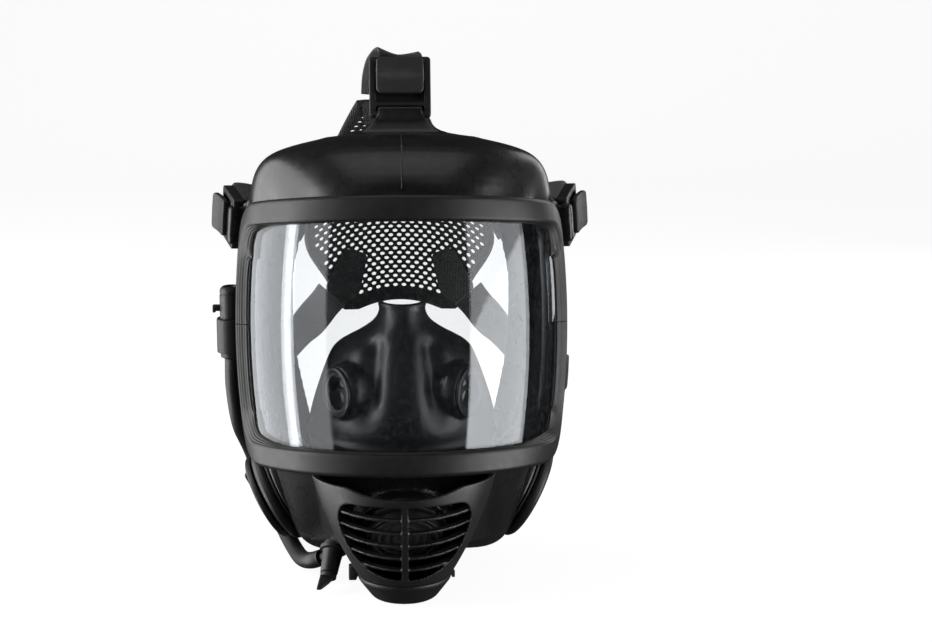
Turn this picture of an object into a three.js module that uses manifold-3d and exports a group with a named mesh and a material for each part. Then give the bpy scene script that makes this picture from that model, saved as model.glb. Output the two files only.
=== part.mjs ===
// Full face respirator with a panoramic visor, five buckles and a perforated harness pad.
// Millimetres, +Z up. The face looks along -Y. Left and right are as seen from the front, so
// left is -X. The origin is the centre of the flat foot under the chin outlet.
import * as THREE from "three";
import { mergeVertices } from "three/addons/utils/BufferGeometryUtils.js";
import Module from "manifold-3d";

const wasm = await Module();
wasm.setup();

// ---------- driving dimensions ----------
const GAP = 0.35; // clearance between neighbouring pieces
const ROUND = 18; // segments in a full turn
const LARGE_ROUND = 22; // the same for the widest turned pieces

// The visor surface is an elliptic cylinder that leans back.
const VISOR = {
  lean: THREE.MathUtils.degToRad(8.5),
  base: new THREE.Vector3(0, 55, 0), // foot of its axis
  axisForward: 19, // how far the ellipse centre stands in front of that axis
  halfWidth: 85.3,
  widestAt: 133, // height along the axis where it is widest
  narrowing: 0.0011, // loss of half width per squared mm away from there
  depth: 73,
  depthLoss: 0.028, // loss of depth per mm of height
  thickness: 2.2,
};
const ARC = 78; // mean radius, which turns arc length round the face into an angle

// The bezel outline is a rounded rectangle laid on the visor surface.
const BEZEL = {
  halfLength: (ARC * Math.PI) / 2,
  halfHeight: 68.25,
  middle: 128.75, // height of its middle along the visor axis
  archTop: 5,
  archBottom: 1.5,
  corner: 30,
  band: 12.5,
  crown: 4.2, // outer face above the lens
  skirt: 7, // how far its outer edge reaches behind the lens face
  split: 5, // height of the split above the middle
};

const WALL = 3; // rubber wall
const SEAL_WIDTH = 20;

const MODULE = {
  bottom: 13,
  top: 62.8,
  wingRise: 5,
  wall: 2.4,
  bars: 5,
  firstBar: 22.9,
  barPitch: 7.25,
  barRise: 3,
  uprightWidth: 3.4,
};
const OUTLET = { foot: 16, top: 24.6, height: 12.6, wall: 2.2 };

const PORT = {
  bore: 20, // round thread 40 mm x 1/7 inch
  collar: 28.5,
  centre: new THREE.Vector3(71.5, 75, 34),
  axis: new THREE.Vector3(0.88, 0.12, -0.456),
  length: 16,
};

const BUCKLE = {
  length: 33,
  topWidth: 33,
  sideWidth: 28,
  thickness: 6,
  rail: 3.6,
  pin: 1.4,
  pinAt: -0.5,
};
const STRAP = { width: 20, topWidth: 25, thickness: 1.8 };
const HOSE_RADIUS = 4.5;

// ---------- materials ----------
const rubber = new THREE.MeshStandardMaterial({ color: 0x151517, roughness: 0.5 });
const softRubber = new THREE.MeshStandardMaterial({ color: 0x101012, roughness: 0.6 });
const plastic = new THREE.MeshStandardMaterial({ color: 0x1d1d1f, roughness: 0.45 });
const satinPlastic = new THREE.MeshStandardMaterial({ color: 0x262628, roughness: 0.55 });
const webbing = new THREE.MeshStandardMaterial({ color: 0x121212, roughness: 0.9 });
const steel = new THREE.MeshStandardMaterial({ color: 0x8a8c90, roughness: 0.35, metalness: 1 });
const film = new THREE.MeshStandardMaterial({ color: 0x303236, roughness: 0.3 });
const lens = new THREE.MeshStandardMaterial({
  color: 0xe8eef2,
  roughness: 0.05,
  transparent: true,
  opacity: 0.25,
});

// ---------- solid helpers ----------
const vec = (x, y, z) => new THREE.Vector3(x, y, z);

// Position-only geometry with shared vertices.
function bare(geometry) {
  const loose = geometry.index ? geometry.toNonIndexed() : geometry.clone();
  for (const name of Object.keys(loose.attributes)) {
    if (name !== "position") loose.deleteAttribute(name);
  }
  return mergeVertices(loose, 1e-3);
}

function toSolid(geometry) {
  const merged = bare(geometry);
  return new wasm.Manifold(
    new wasm.Mesh({
      numProp: 3,
      vertProperties: merged.attributes.position.array,
      triVerts: new Uint32Array(merged.index.array),
    }),
  );
}

function toGeometry(solid) {
  const mesh = solid.getMesh();
  const geometry = new THREE.BufferGeometry();
  geometry.setAttribute("position", new THREE.BufferAttribute(mesh.vertProperties.slice(), 3));
  geometry.setIndex(new THREE.BufferAttribute(mesh.triVerts.slice(), 1));
  return geometry;
}

function join(first, ...others) {
  return toGeometry(others.reduce((sum, g) => sum.add(toSolid(g)), toSolid(first)));
}

function cut(body, ...tools) {
  return toGeometry(tools.reduce((rest, g) => rest.subtract(toSolid(g)), toSolid(body)));
}

// Geometry from points and triangles, turned so that its faces point out.
function closedMesh(points, triangles) {
  let volume = 0;
  for (const [a, b, c] of triangles) {
    volume += points[a].dot(vec(0, 0, 0).crossVectors(points[b], points[c]));
  }
  const index = triangles.flatMap(([a, b, c]) => (volume < 0 ? [a, c, b] : [a, b, c]));
  return new THREE.BufferGeometry().setFromPoints(points).setIndex(index);
}

// Skin over a row of equal closed sections: a ring, or a bar with an end cap at both ends.
// `flat` holds the section's own two-dimensional outline, which triangulates the caps.
function loft(sections, flat = null) {
  const count = sections[0].length;
  const rows = sections.length;
  const triangles = [];
  for (let i = 0; i < (flat ? rows - 1 : rows); i++) {
    const next = (i + 1) % rows;
    for (let j = 0; j < count; j++) {
      const side = (j + 1) % count;
      const [a, b] = [i * count + j, next * count + j];
      const [c, d] = [next * count + side, i * count + side];
      triangles.push([a, b, c], [a, c, d]);
    }
  }
  if (flat) {
    const last = (rows - 1) * count;
    const anticlockwise = THREE.ShapeUtils.area(flat) > 0;
    for (const [a, b, c] of THREE.ShapeUtils.triangulateShape(flat, [])) {
      const [p, q, r] = anticlockwise ? [a, b, c] : [a, c, b];
      triangles.push([p, q, r], [last + p, last + r, last + q]);
    }
  }
  return closedMesh(sections.flat(), triangles);
}

// Curved plate: at(u, v, face) gives a point of its outer (0) or inner (1) face.
function plate(at, columns, rows) {
  const points = [];
  for (const face of [0, 1]) {
    for (let i = 0; i <= columns; i++) {
      for (let j = 0; j <= rows; j++) points.push(at(i / columns, j / rows, face));
    }
  }
  const id = (face, i, j) => (face * (columns + 1) + i) * (rows + 1) + j;
  const triangles = [];
  const quad = (a, b, c, d) => triangles.push([a, b, c], [a, c, d]);
  for (let i = 0; i < columns; i++) {
    for (let j = 0; j < rows; j++) {
      quad(id(0, i, j), id(0, i + 1, j), id(0, i + 1, j + 1), id(0, i, j + 1));
      quad(id(1, i, j), id(1, i, j + 1), id(1, i + 1, j + 1), id(1, i + 1, j));
    }
    quad(id(0, i, 0), id(1, i, 0), id(1, i + 1, 0), id(0, i + 1, 0));
    quad(id(0, i, rows), id(0, i + 1, rows), id(1, i + 1, rows), id(1, i, rows));
  }
  for (let j = 0; j < rows; j++) {
    quad(id(0, 0, j), id(0, 0, j + 1), id(1, 0, j + 1), id(1, 0, j));
    quad(id(0, columns, j), id(1, columns, j), id(1, columns, j + 1), id(0, columns, j + 1));
  }
  return closedMesh(points, triangles);
}

// Turned solid about Z from [radius, height] pairs; a profile off the axis closes on itself.
function turned(profile, segments = ROUND) {
  const points = profile.map(([r, z]) => new THREE.Vector2(r, z));
  if (profile[0][0] > 0) points.push(points[0].clone());
  const round = bare(new THREE.LatheGeometry(points, segments).rotateX(Math.PI / 2));
  const at = round.attributes.position;
  const corners = Array.from({ length: at.count }, (_, i) => vec(0, 0, 0).fromBufferAttribute(at, i));
  const triangles = [];
  for (let i = 0; i < round.index.count; i += 3) {
    const [a, b, c] = [0, 1, 2].map((k) => round.index.getX(i + k));
    if (a !== b && b !== c && c !== a) triangles.push([a, b, c]);
  }
  return closedMesh(corners, triangles);
}

const disc = (radius, from, to, segments = ROUND) =>
  turned([[0, from], [radius, from], [radius, to], [0, to]], segments);
const ring = (inner, outer, from, to, segments = ROUND) =>
  turned([[inner, from], [outer, from], [outer, to], [inner, to]], segments);

function box(x0, x1, y0, y1, z0, z1) {
  const shape = new THREE.BoxGeometry(x1 - x0, y1 - y0, z1 - z0);
  return shape.translate((x0 + x1) / 2, (y0 + y1) / 2, (z0 + z1) / 2);
}

// Flat outline extruded along Z.
function slab(outline, from, to, holes = []) {
  const shape = Array.isArray(outline) ? new THREE.Shape(outline) : outline;
  shape.holes.push(...holes);
  const options = { depth: to - from, bevelEnabled: false, curveSegments: 3 };
  return new THREE.ExtrudeGeometry(shape, options).translate(0, 0, from);
}

function roundedRectangle(x0, x1, y0, y1, r) {
  const shape = new THREE.Shape();
  shape.absarc(x1 - r, y1 - r, r, 0, Math.PI / 2);
  shape.absarc(x0 + r, y1 - r, r, Math.PI / 2, Math.PI);
  shape.absarc(x0 + r, y0 + r, r, Math.PI, 1.5 * Math.PI);
  shape.absarc(x1 - r, y0 + r, r, 1.5 * Math.PI, 2 * Math.PI);
  return shape;
}

function rectanglePath(x0, x1, y0, y1) {
  return new THREE.Path([[x0, y0], [x1, y0], [x1, y1], [x0, y1]].map(([x, y]) => new THREE.Vector2(x, y)));
}

// Matrix whose local Y runs along `along` and whose local Z is the outer side.
function facing(origin, along, outer) {
  const y = along.clone().normalize();
  const z = outer.clone().addScaledVector(y, -outer.dot(y)).normalize();
  const x = vec(0, 0, 0).crossVectors(y, z);
  return new THREE.Matrix4().makeBasis(x, y, z).setPosition(origin);
}

function add(parent, name, geometry, material) {
  const mesh = new THREE.Mesh(geometry, material);
  mesh.name = name;
  parent.add(mesh);
  return mesh;
}

function groupAt(parent, matrix) {
  const group = new THREE.Group();
  group.applyMatrix4(matrix);
  parent.add(group);
  return group;
}

const respirator = new THREE.Group();
const SIDES = [
  { side: -1, label: "left" },
  { side: 1, label: "right" },
];

// ---------- visor surface ----------
// Point of the visor surface: h is arc length round the face, v height above the outline's
// middle, n distance outwards from the lens face.
function onVisor(h, v, n) {
  const angle = h / ARC;
  const arch = (v > 0 ? BEZEL.archTop : BEZEL.archBottom) * (v / BEZEL.halfHeight);
  const w = BEZEL.middle + v + arch * Math.max(0, Math.cos(angle));
  const a = VISOR.halfWidth - VISOR.narrowing * (w - VISOR.widestAt) ** 2 + n;
  const b = VISOR.depth - VISOR.depthLoss * (w - 60) + n;
  const forward = VISOR.axisForward + b * Math.cos(angle);
  const [s, c] = [Math.sin(VISOR.lean), Math.cos(VISOR.lean)];
  return vec(a * Math.sin(angle), w * s - forward * c, w * c + forward * s).add(VISOR.base);
}

// A place on the outline: t runs from the split (0) round the corner to the centre line (1).
const CORNER_FROM = 0.35;
const CORNER_TO = 0.6;
const STEPS = [0, 0.18, 0.35, 0.4125, 0.475, 0.5375, 0.6, 0.68, 0.76, 0.84, 0.92, 1];

// Flat coordinates of the point q mm outside the bezel's inner edge.
function rimFlat({ side, upper, t }, q) {
  const up = upper ? 1 : -1;
  const coreH = BEZEL.halfLength - BEZEL.corner;
  const coreV = BEZEL.halfHeight - BEZEL.corner;
  const cornerShare = (t - CORNER_FROM) / (CORNER_TO - CORNER_FROM);
  const turn = (THREE.MathUtils.clamp(cornerShare, 0, 1) * Math.PI) / 2;
  const radius = BEZEL.corner - BEZEL.band + q;
  const alongTop = Math.max(0, (t - CORNER_TO) / (1 - CORNER_TO));
  const alongSide = Math.min(1, t / CORNER_FROM);
  const h = coreH * (1 - alongTop) + radius * Math.cos(turn);
  const coreEdge = THREE.MathUtils.lerp(BEZEL.split + (up * GAP) / 2, up * coreV, alongSide);
  return { h: side * h, v: coreEdge + up * radius * Math.sin(turn) };
}

function onRim(place, q, n) {
  const { h, v } = rimFlat(place, q);
  return onVisor(h, v, n);
}

const along = (side, upper, steps) => steps.map((t) => ({ side, upper, t }));
const halfOutline = (upper) => [
  ...along(1, upper, STEPS),
  ...along(-1, upper, STEPS.slice(0, -1).reverse()),
];
const wholeOutline = [
  ...halfOutline(true),
  ...along(-1, false, STEPS.slice(1)),
  ...along(1, false, STEPS.slice(1, -1).reverse()),
];

// The lens is ruled between the top edge and the bottom edge, its edge hidden under the bezel.
function buildVisor() {
  const tuck = 8.3;
  const columns = halfOutline(true).filter(({ t }) => t >= CORNER_FROM);
  const at = (u, v, face) => {
    const place = columns[Math.round(u * (columns.length - 1))];
    const top = rimFlat(place, tuck);
    const foot = rimFlat({ ...place, upper: false }, tuck);
    return onVisor(top.h, THREE.MathUtils.lerp(foot.v, top.v, v), -face * VISOR.thickness);
  };
  return plate(at, columns.length - 1, 4);
}

function buildBezel(upper) {
  const { band, crown, skirt } = BEZEL;
  const section = [
    [0, 0.6], [0, crown - 1.2], [1.6, crown], [band - 1.7, crown], [band, crown - 1.4],
    [band, -skirt], [band - 1.8, -skirt], [band - 1.8, 0.6],
  ];
  const sections = halfOutline(upper).map((place) => section.map(([q, n]) => onRim(place, q, n)));
  const frame = loft(sections, section.map(([q, n]) => new THREE.Vector2(q, n)));
  const lugs = SIDES.map(({ side }) => buildLug(side, upper));
  const holes = SIDES.map(({ side }) => screwShape(side, LUG.screw + GAP, 2 * LUG.height));
  return cut(join(frame, ...lugs), ...holes);
}

// Lugs behind the bezel's rear edges at the split, where one screw at each side draws the two
// halves together. Their frame leans back with the visor and has its origin on the split.
const LUG = { x: 83.2, y: -16.5, halfSize: 3, height: 5.2, screw: 1.25, head: 2.1, headHeight: 1.6 };

function leaned(shape) {
  return shape.translate(0, 0, BEZEL.middle + BEZEL.split).rotateX(-VISOR.lean)
    .translate(...VISOR.base.toArray());
}

function buildLug(side, upper) {
  const { y, halfSize, height } = LUG;
  const x = side * LUG.x;
  const [low, high] = upper ? [GAP / 2, height] : [-height, -GAP / 2];
  return leaned(box(x - halfSize, x + halfSize, y - halfSize, y + halfSize, low, high));
}

function screwShape(side, radius, reach) {
  return leaned(disc(radius, -reach, reach, 12).translate(side * LUG.x, LUG.y, 0));
}

function buildBezelScrew(side) {
  const { x, y, height, head, headHeight } = LUG;
  const from = height + GAP;
  const top = disc(head, from, from + headHeight, 12).translate(side * x, y, 0);
  return join(screwShape(side, LUG.screw, height + GAP + 0.5), leaned(top));
}

// ---------- facepiece ----------
// Closed loops round the face through nine places on the right half, from the top centre (first)
// over the corner (third), the side (fifth) and the lower corner (seventh) to the chin (last).
const BULGE = [
  [0, 40, 255], [46, 46, 252], [86, 62, 237], [90, 84, 192], [84, 92, 138],
  [83, 92, 95], [62, 82, 18], [58, 52, -18], [0, 4, 4],
];
const REAR_EDGE = [
  [0, 86, 226], [38, 90, 221], [62, 100, 203], [74, 112, 172], [78, 120, 138],
  [75, 120, 98], [60, 108, 46], [42, 92, 18], [0, 78, 13],
];

function mirroredLoop(keys) {
  const right = keys.map(([x, y, z]) => vec(x, y, z));
  const left = keys.slice(1, -1).reverse().map(([x, y, z]) => vec(-x, y, z));
  return new THREE.CatmullRomCurve3([...right, ...left], true, "catmullrom", 0.5);
}
const bulgeLoop = mirroredLoop(BULGE);
const rearLoop = mirroredLoop(REAR_EDGE);

function onLoop(loop, { side, upper, t }) {
  const turn = (upper ? 4 * (1 - t) : 4 + 4 * t) / 16;
  return loop.getPoint(side > 0 ? turn : (1 - turn) % 1);
}

const FACE_CENTRE = vec(0, 75, 130);
const inward = (point, distance) =>
  point.clone().addScaledVector(FACE_CENTRE.clone().sub(point).normalize(), distance);

// The rubber grips the lens edge, runs back over the face and turns in to the face seal.
function facepieceSection(place) {
  const bulge = onLoop(bulgeLoop, place);
  const rear = onLoop(rearLoop, place);
  const outer = new THREE.QuadraticBezierCurve3(onRim(place, 12.6, -8.2), bulge, rear);
  const rearInside = inward(rear, WALL).add(vec(0, -WALL, 0));
  const innerStart = onRim(place, 8, -10);
  const inner = new THREE.QuadraticBezierCurve3(innerStart, inward(bulge, WALL + 1), rearInside);
  const sealTip = inward(rear, SEAL_WIDTH);
  return [
    ...[[0, -2.6], [8.9, -2.6], [8.9, 0.25], [10.3, 0.25], [10.3, -7.4]].map(([q, n]) =>
      onRim(place, q, n)),
    ...[0, 0.25, 0.5, 0.75, 1].map((t) => outer.getPoint(t)),
    sealTip,
    sealTip.clone().add(vec(0, -2.2, 0)),
    ...[1, 0.65, 0.3, 0].map((t) => inner.getPoint(t)),
    onRim(place, 3, -7),
    onRim(place, 0.3, -4.2),
  ];
}

// ---------- buckles ----------
// Local frame of a buckle: Y from the mask to the strap, Z outwards. The rubber tab loops round
// the bar nearest the mask, and the strap runs round the pinned lever.
const mirrorX = (v, side) => vec(v.x * side, v.y, v.z);
const BUCKLES = [
  {
    name: "top", width: BUCKLE.topWidth, tabRoot: vec(0, 62, 234), tabWidth: 44,
    matrix: facing(vec(0, 78, 259), vec(0, 0.33, 0.94), vec(0, -0.94, 0.33)),
  },
  ...SIDES.map(({ side, label }) => ({
    name: "temple_" + label, width: BUCKLE.sideWidth,
    tabRoot: vec(side * 78.5, 78, 187), tabWidth: 26,
    matrix: facing(vec(side * 92.5, 93, 187), mirrorX(vec(0.24, 0.96, 0.12), side),
      mirrorX(vec(0.96, -0.24, 0.05), side)),
  })),
  ...SIDES.map(({ side, label }) => ({
    name: "jaw_" + label, width: BUCKLE.sideWidth, tabRoot: vec(side * 79, 88, 91), tabWidth: 26,
    matrix: facing(vec(side * 88, 115, 90), mirrorX(vec(0.04, 0.98, -0.04), side),
      mirrorX(vec(0.98, -0.04, -0.05), side)),
  })),
];

const half = BUCKLE.length / 2;
const BUCKLE_BARS = { loopBar: 3, tabSlot: 2.8, middleBar: 2.5, endBar: 2.5 };
const TAB = { back: 5.6, front: 5.4, from: -half - 2.4, to: -half + 5.5, rubber: 2.1 };

function buildBuckleFrame(width) {
  const outside = width / 2;
  const inside = outside - BUCKLE.rail;
  const { loopBar, tabSlot, middleBar, endBar } = BUCKLE_BARS;
  const slotFrom = -half + loopBar;
  const windowFrom = slotFrom + tabSlot + middleBar;
  const outline = roundedRectangle(-outside, outside, -half, half, 2);
  const tabHole = rectanglePath(-inside, inside, slotFrom, slotFrom + tabSlot);
  const strapHole = rectanglePath(-inside, inside, windowFrom, half - endBar);
  const frame = slab(outline, -BUCKLE.thickness / 2, BUCKLE.thickness / 2, [tabHole, strapHole]);
  // thin web at the back, between the middle bar and the lever's barrel
  const back = -BUCKLE.thickness / 2;
  const web = box(-inside - 0.5, inside + 0.5, windowFrom - 0.5, BUCKLE.pinAt - 2.8, back, back + 0.9);
  return cut(join(frame, web), pinRod(outside - 1.2, BUCKLE.pin + 0.15));
}

// Rod along the pin axis, reaching `reach` to both sides.
function pinRod(reach, radius) {
  return disc(radius, -reach, reach, 10).rotateY(Math.PI / 2).translate(0, BUCKLE.pinAt, 0);
}

function buildBuckleLever(width) {
  const top = BUCKLE.thickness / 2;
  const inside = width / 2 - BUCKLE.rail - 0.6;
  const reach = inside + 0.4;
  const pad = slab(roundedRectangle(-reach, reach, -4, half - 1, 2.5), top + 0.5, top + 3.6);
  const root = box(-inside + 1, inside - 1, BUCKLE.pinAt - 2.2, BUCKLE.pinAt + 2.2, 0, top + 1);
  const barrel = disc(2.9, -inside + 1, inside - 1, 12).rotateY(Math.PI / 2)
    .translate(0, BUCKLE.pinAt, 0);
  return cut(join(pad, root, barrel), pinRod(width / 2, BUCKLE.pin + 0.25));
}

// Rubber tab from the facepiece to the loop round the buckle's first bar.
function buildTab({ matrix, width, tabRoot, tabWidth }) {
  const { back, front, from, to, rubber: thick } = TAB;
  const wide = width / 2 - BUCKLE.rail - 0.5;
  const outside = box(-wide, wide, from, to, -back, front);
  const bar = box(-wide - 1, wide + 1, from + thick, to - thick, -back + thick, front - thick);
  const loop = cut(outside, bar).applyMatrix4(matrix);
  const place = matrix.clone().setPosition(tabRoot);
  const corners = [[-1, 0], [1, 0], [1, 1], [-1, 1]];
  const section = (halfWidth, low, high, y, frame) =>
    corners.map(([a, b]) => vec(a * halfWidth, y, b ? high : low).applyMatrix4(frame));
  const neck = loft([
    section(tabWidth / 2, -2, 2, 0, place),
    section(wide, -back + 1, front - 1, from + 1, matrix),
  ], corners.map(([x, y]) => new THREE.Vector2(x, y)));
  return join(loop, neck);
}

function buildBuckles(parent) {
  for (const { name, width, matrix } of BUCKLES) {
    const group = groupAt(parent, matrix);
    add(group, "buckle_frame_" + name, buildBuckleFrame(width), plastic);
    add(group, "buckle_lever_" + name, buildBuckleLever(width), satinPlastic);
    add(group, "buckle_pin_" + name, pinRod(width / 2 - 1.6, BUCKLE.pin), steel);
  }
}

// ---------- harness ----------
// Flat strap of a given width through points; `across` is its width direction at both ends.
function buildStrap(points, width, acrossStart, acrossEnd) {
  const curve = new THREE.CatmullRomCurve3(points);
  const steps = 8;
  const sections = Array.from({ length: steps + 1 }, (_, i) => {
    const share = i / steps;
    const forward = curve.getTangentAt(share);
    const wish = acrossStart.clone().lerp(acrossEnd, share);
    const across = wish.addScaledVector(forward, -wish.dot(forward)).normalize();
    const up = vec(0, 0, 0).crossVectors(forward, across);
    const corners = [[-1, -1], [1, -1], [1, 1], [-1, 1]];
    return corners.map(([a, b]) => curve.getPointAt(share)
      .addScaledVector(across, (a * width) / 2)
      .addScaledVector(up, (b * STRAP.thickness) / 2));
  });
  return loft(sections, [[-1, -1], [1, -1], [1, 1], [-1, 1]].map(([x, y]) => new THREE.Vector2(x, y)));
}

// Rows of the pad from its lower hem to the top band: height, half width, distance back.
const PAD_ROWS = [
  [126, 34, 172], [145, 42, 179], [165, 54, 184], [190, 47, 178], [223, 30, 155], [246, 14, 128],
];
const PAD = { thickness: 2, hemDrop: 9, wrap: 110, lean: 9, leanFrom: 165 };

// Smooth value of each column of `rows` at the height x, where the first column is the height.
function smoothRows(rows, x) {
  const places = rows.map((row) => row[0]);
  const values = rows.flatMap((row) => row.slice(1));
  return [...new THREE.CubicInterpolant(places, values, rows[0].length - 1).evaluate(x)];
}

function buildHarnessPad() {
  const [low, high] = [PAD_ROWS[0][0], PAD_ROWS.at(-1)[0]];
  return plate((u, v, face) => {
    const z = THREE.MathUtils.lerp(low, high, v);
    const [halfWidth, back] = smoothRows(PAD_ROWS, z);
    const x = (2 * u - 1) * halfWidth;
    const drop = PAD.hemDrop * (2 * u - 1) ** 2 * (1 - v);
    return vec(x - padLean(z), back - (x * x) / PAD.wrap - face * PAD.thickness, z - drop);
  }, 6, 7);
}

// The top of the pad hangs a little to the left, and the top strap with it.
function padLean(z) {
  const share = Math.max(0, z - PAD.leanFrom) / (PAD_ROWS.at(-1)[0] - PAD.leanFrom);
  return PAD.lean * share ** 1.5;
}

function buildHarness(parent) {
  add(parent, "harness_pad", buildHarnessPad(), webbing);
  const upright = vec(0, 0, 1);
  const level = vec(1, 0, 0);
  const strapStart = (matrix, y, z) => vec(0, y, z).applyMatrix4(matrix);
  const top = BUCKLES[0].matrix;
  add(parent, "strap_top", buildStrap(
    [strapStart(top, 4, -4.4), strapStart(top, half + 1, -5.4), vec(-4, 96, 279), vec(-7, 113, 263),
      vec(-PAD.lean, 124.5, 250.5)],
    STRAP.topWidth, level, level), webbing);
  SIDES.forEach(({ side, label }, i) => {
    const temple = BUCKLES[1 + i].matrix;
    add(parent, "strap_temple_" + label, buildStrap(
      [strapStart(temple, 4, -4.6), strapStart(temple, half + 1, -5.2), vec(side * 93, 135, 190),
        vec(side * 76, 160, 182), vec(side * 53.5, 163, 170)],
      STRAP.width, upright, upright), webbing);
    const jaw = BUCKLES[3 + i].matrix;
    add(parent, "strap_jaw_" + label, buildStrap(
      [strapStart(jaw, 4, -5), strapStart(jaw, half + 1, -6), vec(side * 75, 146, 90),
        vec(side * 59, 153, 108), vec(side * 40, 153, 131)],
      STRAP.width, upright, vec(-side * 0.6, 0, 0.8)), webbing);
  });
}

// ---------- front module ----------
// The cover is half of a tapered oval that stands on the chin outlet.
const coverWidth = (z) => 24.8 + 0.6 * (z - MODULE.bottom) - 0.0032 * (z - MODULE.bottom) ** 2;
const coverDepth = (z) => 26 + 0.55 * (z - MODULE.bottom) - 0.0055 * (z - MODULE.bottom) ** 2;

// Point of the cover at an angle from the front, `inset` mm inside its outer face.
function onCover(angle, z, inset) {
  const x = (coverWidth(z) - inset) * Math.sin(angle);
  return vec(x, -(coverDepth(z) - inset) * Math.cos(angle), z);
}

function coverShell(outside, inside, margin = 0) {
  const quarter = Math.PI / 2 + margin / 20;
  return plate((u, v, face) => {
    const angle = THREE.MathUtils.lerp(-quarter, quarter, u);
    const top = MODULE.top + MODULE.wingRise * Math.sin(angle) ** 2 + margin;
    const z = THREE.MathUtils.lerp(MODULE.bottom - margin, top, v);
    return onCover(angle, z, face ? inside : outside);
  }, 16, 4);
}

function buildGrilleCover() {
  const opening = new THREE.Shape();
  opening.moveTo(-26, 59.3);
  opening.lineTo(26, 59.3);
  opening.quadraticCurveTo(33.8, 59.3, 33.8, 51);
  opening.quadraticCurveTo(33.8, 42, 27.5, 31);
  opening.quadraticCurveTo(19, 16.7, 0, 16.7);
  opening.quadraticCurveTo(-19, 16.7, -27.5, 31);
  opening.quadraticCurveTo(-33.8, 42, -33.8, 51);
  opening.quadraticCurveTo(-33.8, 59.3, -26, 59.3);
  const window = slab(opening, 0, 60).rotateX(Math.PI / 2).translate(0, -2, 0);
  const shell = cut(coverShell(0, MODULE.wall), window);
  const { bars: count, firstBar, barPitch } = MODULE;
  const bars = Array.from({ length: count }, (_, k) => buildBar(firstBar + k * barPitch));
  return join(shell, ...bars, buildUpright());
}

function buildBar(z) {
  const [front, back, thick] = [0.9, 5, 1.7];
  const reach = 1.3;
  const section = [[front, -1], [back, -1], [back, 1], [front, 1]];
  const steps = 10;
  const sections = Array.from({ length: steps + 1 }, (_, i) => {
    const angle = THREE.MathUtils.lerp(-reach, reach, i / steps);
    const height = z + MODULE.barRise * (1 - Math.cos(angle));
    return section.map(([inset, up]) => onCover(angle, height + (up * thick) / 2, inset));
  });
  return loft(sections, section.map(([a, b]) => new THREE.Vector2(a, b)));
}

function buildUpright() {
  const w = MODULE.uprightWidth / 2;
  return plate((u, v, face) => {
    const z = THREE.MathUtils.lerp(MODULE.bottom + 1, MODULE.top - 1, v);
    const x = THREE.MathUtils.lerp(-w, w, u);
    return vec(x, -(coverDepth(z) - (face ? 5.4 : 0.5)), z);
  }, 1, 4);
}

function buildChinOutlet() {
  const { foot, top, height, wall } = OUTLET;
  return turned([
    [0, 0], [foot, 0], [foot + 1.6, 1.2], [foot + 5.8, 6.8], [top, height - 2], [top, height],
    [top - wall, height], [top - wall, height - 2], [foot + 3.4, 6.8], [foot - 0.6, 2.4], [0, 2.4],
  ], LARGE_ROUND);
}

// The module body sits in a rubber socket; its axis points forward and down.
const MODULE_PLACE = new THREE.Matrix4()
  .makeRotationX(THREE.MathUtils.degToRad(125))
  .setPosition(0, -2, 40);
const SOCKET = { bore: 20.4, seat: 24, outer: 26.5, from: -10, to: 6, seatFrom: -4, seatTo: 2.5 };

function moduleSocket() {
  const { bore, seat, outer, from, to, seatFrom, seatTo } = SOCKET;
  const tube = ring(seat, outer, from, to);
  const lip = ring(bore, seat + 1, seatFrom, seatTo);
  return join(tube, lip).applyMatrix4(MODULE_PLACE);
}

// Rubber cheek walls that run back from the cover's side edges into the facepiece.
function coverCollar(side) {
  const [low, high] = [MODULE.bottom + 3, MODULE.top - 2];
  return plate((u, v, face) => {
    const z = THREE.MathUtils.lerp(low, high, v);
    const back = THREE.MathUtils.lerp(GAP + 0.3, 17 + 1.07 * (46 - z), u);
    return vec(side * (coverWidth(z) - 0.3 - face * 2.3), back, z);
  }, 1, 3);
}

// Rubber floor behind the cover, from its side edges back to the chin.
function chinFloor() {
  const wide = OUTLET.top + 0.2;
  return box(-wide, wide, GAP + 0.3, 53, MODULE.bottom + GAP, MODULE.bottom + 3.3);
}

function socketClearance() {
  const { bore, seat, seatFrom, seatTo } = SOCKET;
  const tools = [disc(seat, seatTo, 22), disc(seat, -40, seatFrom), disc(bore, -40, 22)];
  return tools.map((tool) => tool.applyMatrix4(MODULE_PLACE));
}

function buildFrontModule(parent) {
  const { seat, seatFrom, seatTo } = SOCKET;
  add(parent, "grille_cover", buildGrilleCover(), plastic);
  add(parent, "chin_outlet", buildChinOutlet(), softRubber);
  const group = groupAt(parent, MODULE_PLACE);
  const tube = turned([
    [17, seatFrom - 3], [seat - GAP, seatFrom - 3], [seat - GAP, seatFrom - GAP], [20, seatFrom - GAP],
    [20, 12], [18.4, 12], [18.4, 9.6], [17, 9.6],
  ]);
  const spokes = [0, 1].map((k) => box(-17.5, 17.5, -1.2, 1.2, -6.4, -4.9).rotateZ((k * Math.PI) / 2));
  add(group, "module_body", join(tube, ...spokes, disc(4.5, -6.4, -4.9, 16)), plastic);
  add(group, "module_ring_nut", ring(20.4, 23.4, seatTo + GAP, seatTo + 5), plastic);
  add(group, "speech_diaphragm", turned([
    [0, 10], [5, 10], [7, 10.6], [9, 10], [11, 10.6], [13, 10], [18, 10], [18, 10.5], [13, 10.5],
    [11, 11.1], [9, 10.5], [7, 11.1], [5, 10.5], [0, 10.5],
  ]), film);
  add(group, "diaphragm_ring", ring(15.5, 18, 10.9, 12.6), satinPlastic);
  add(group, "exhalation_valve_disc", turned([
    [0, -4.5], [15, -4.5], [15, -3.7], [3, -3.2], [0, -3.2],
  ]), softRubber);
}

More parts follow.
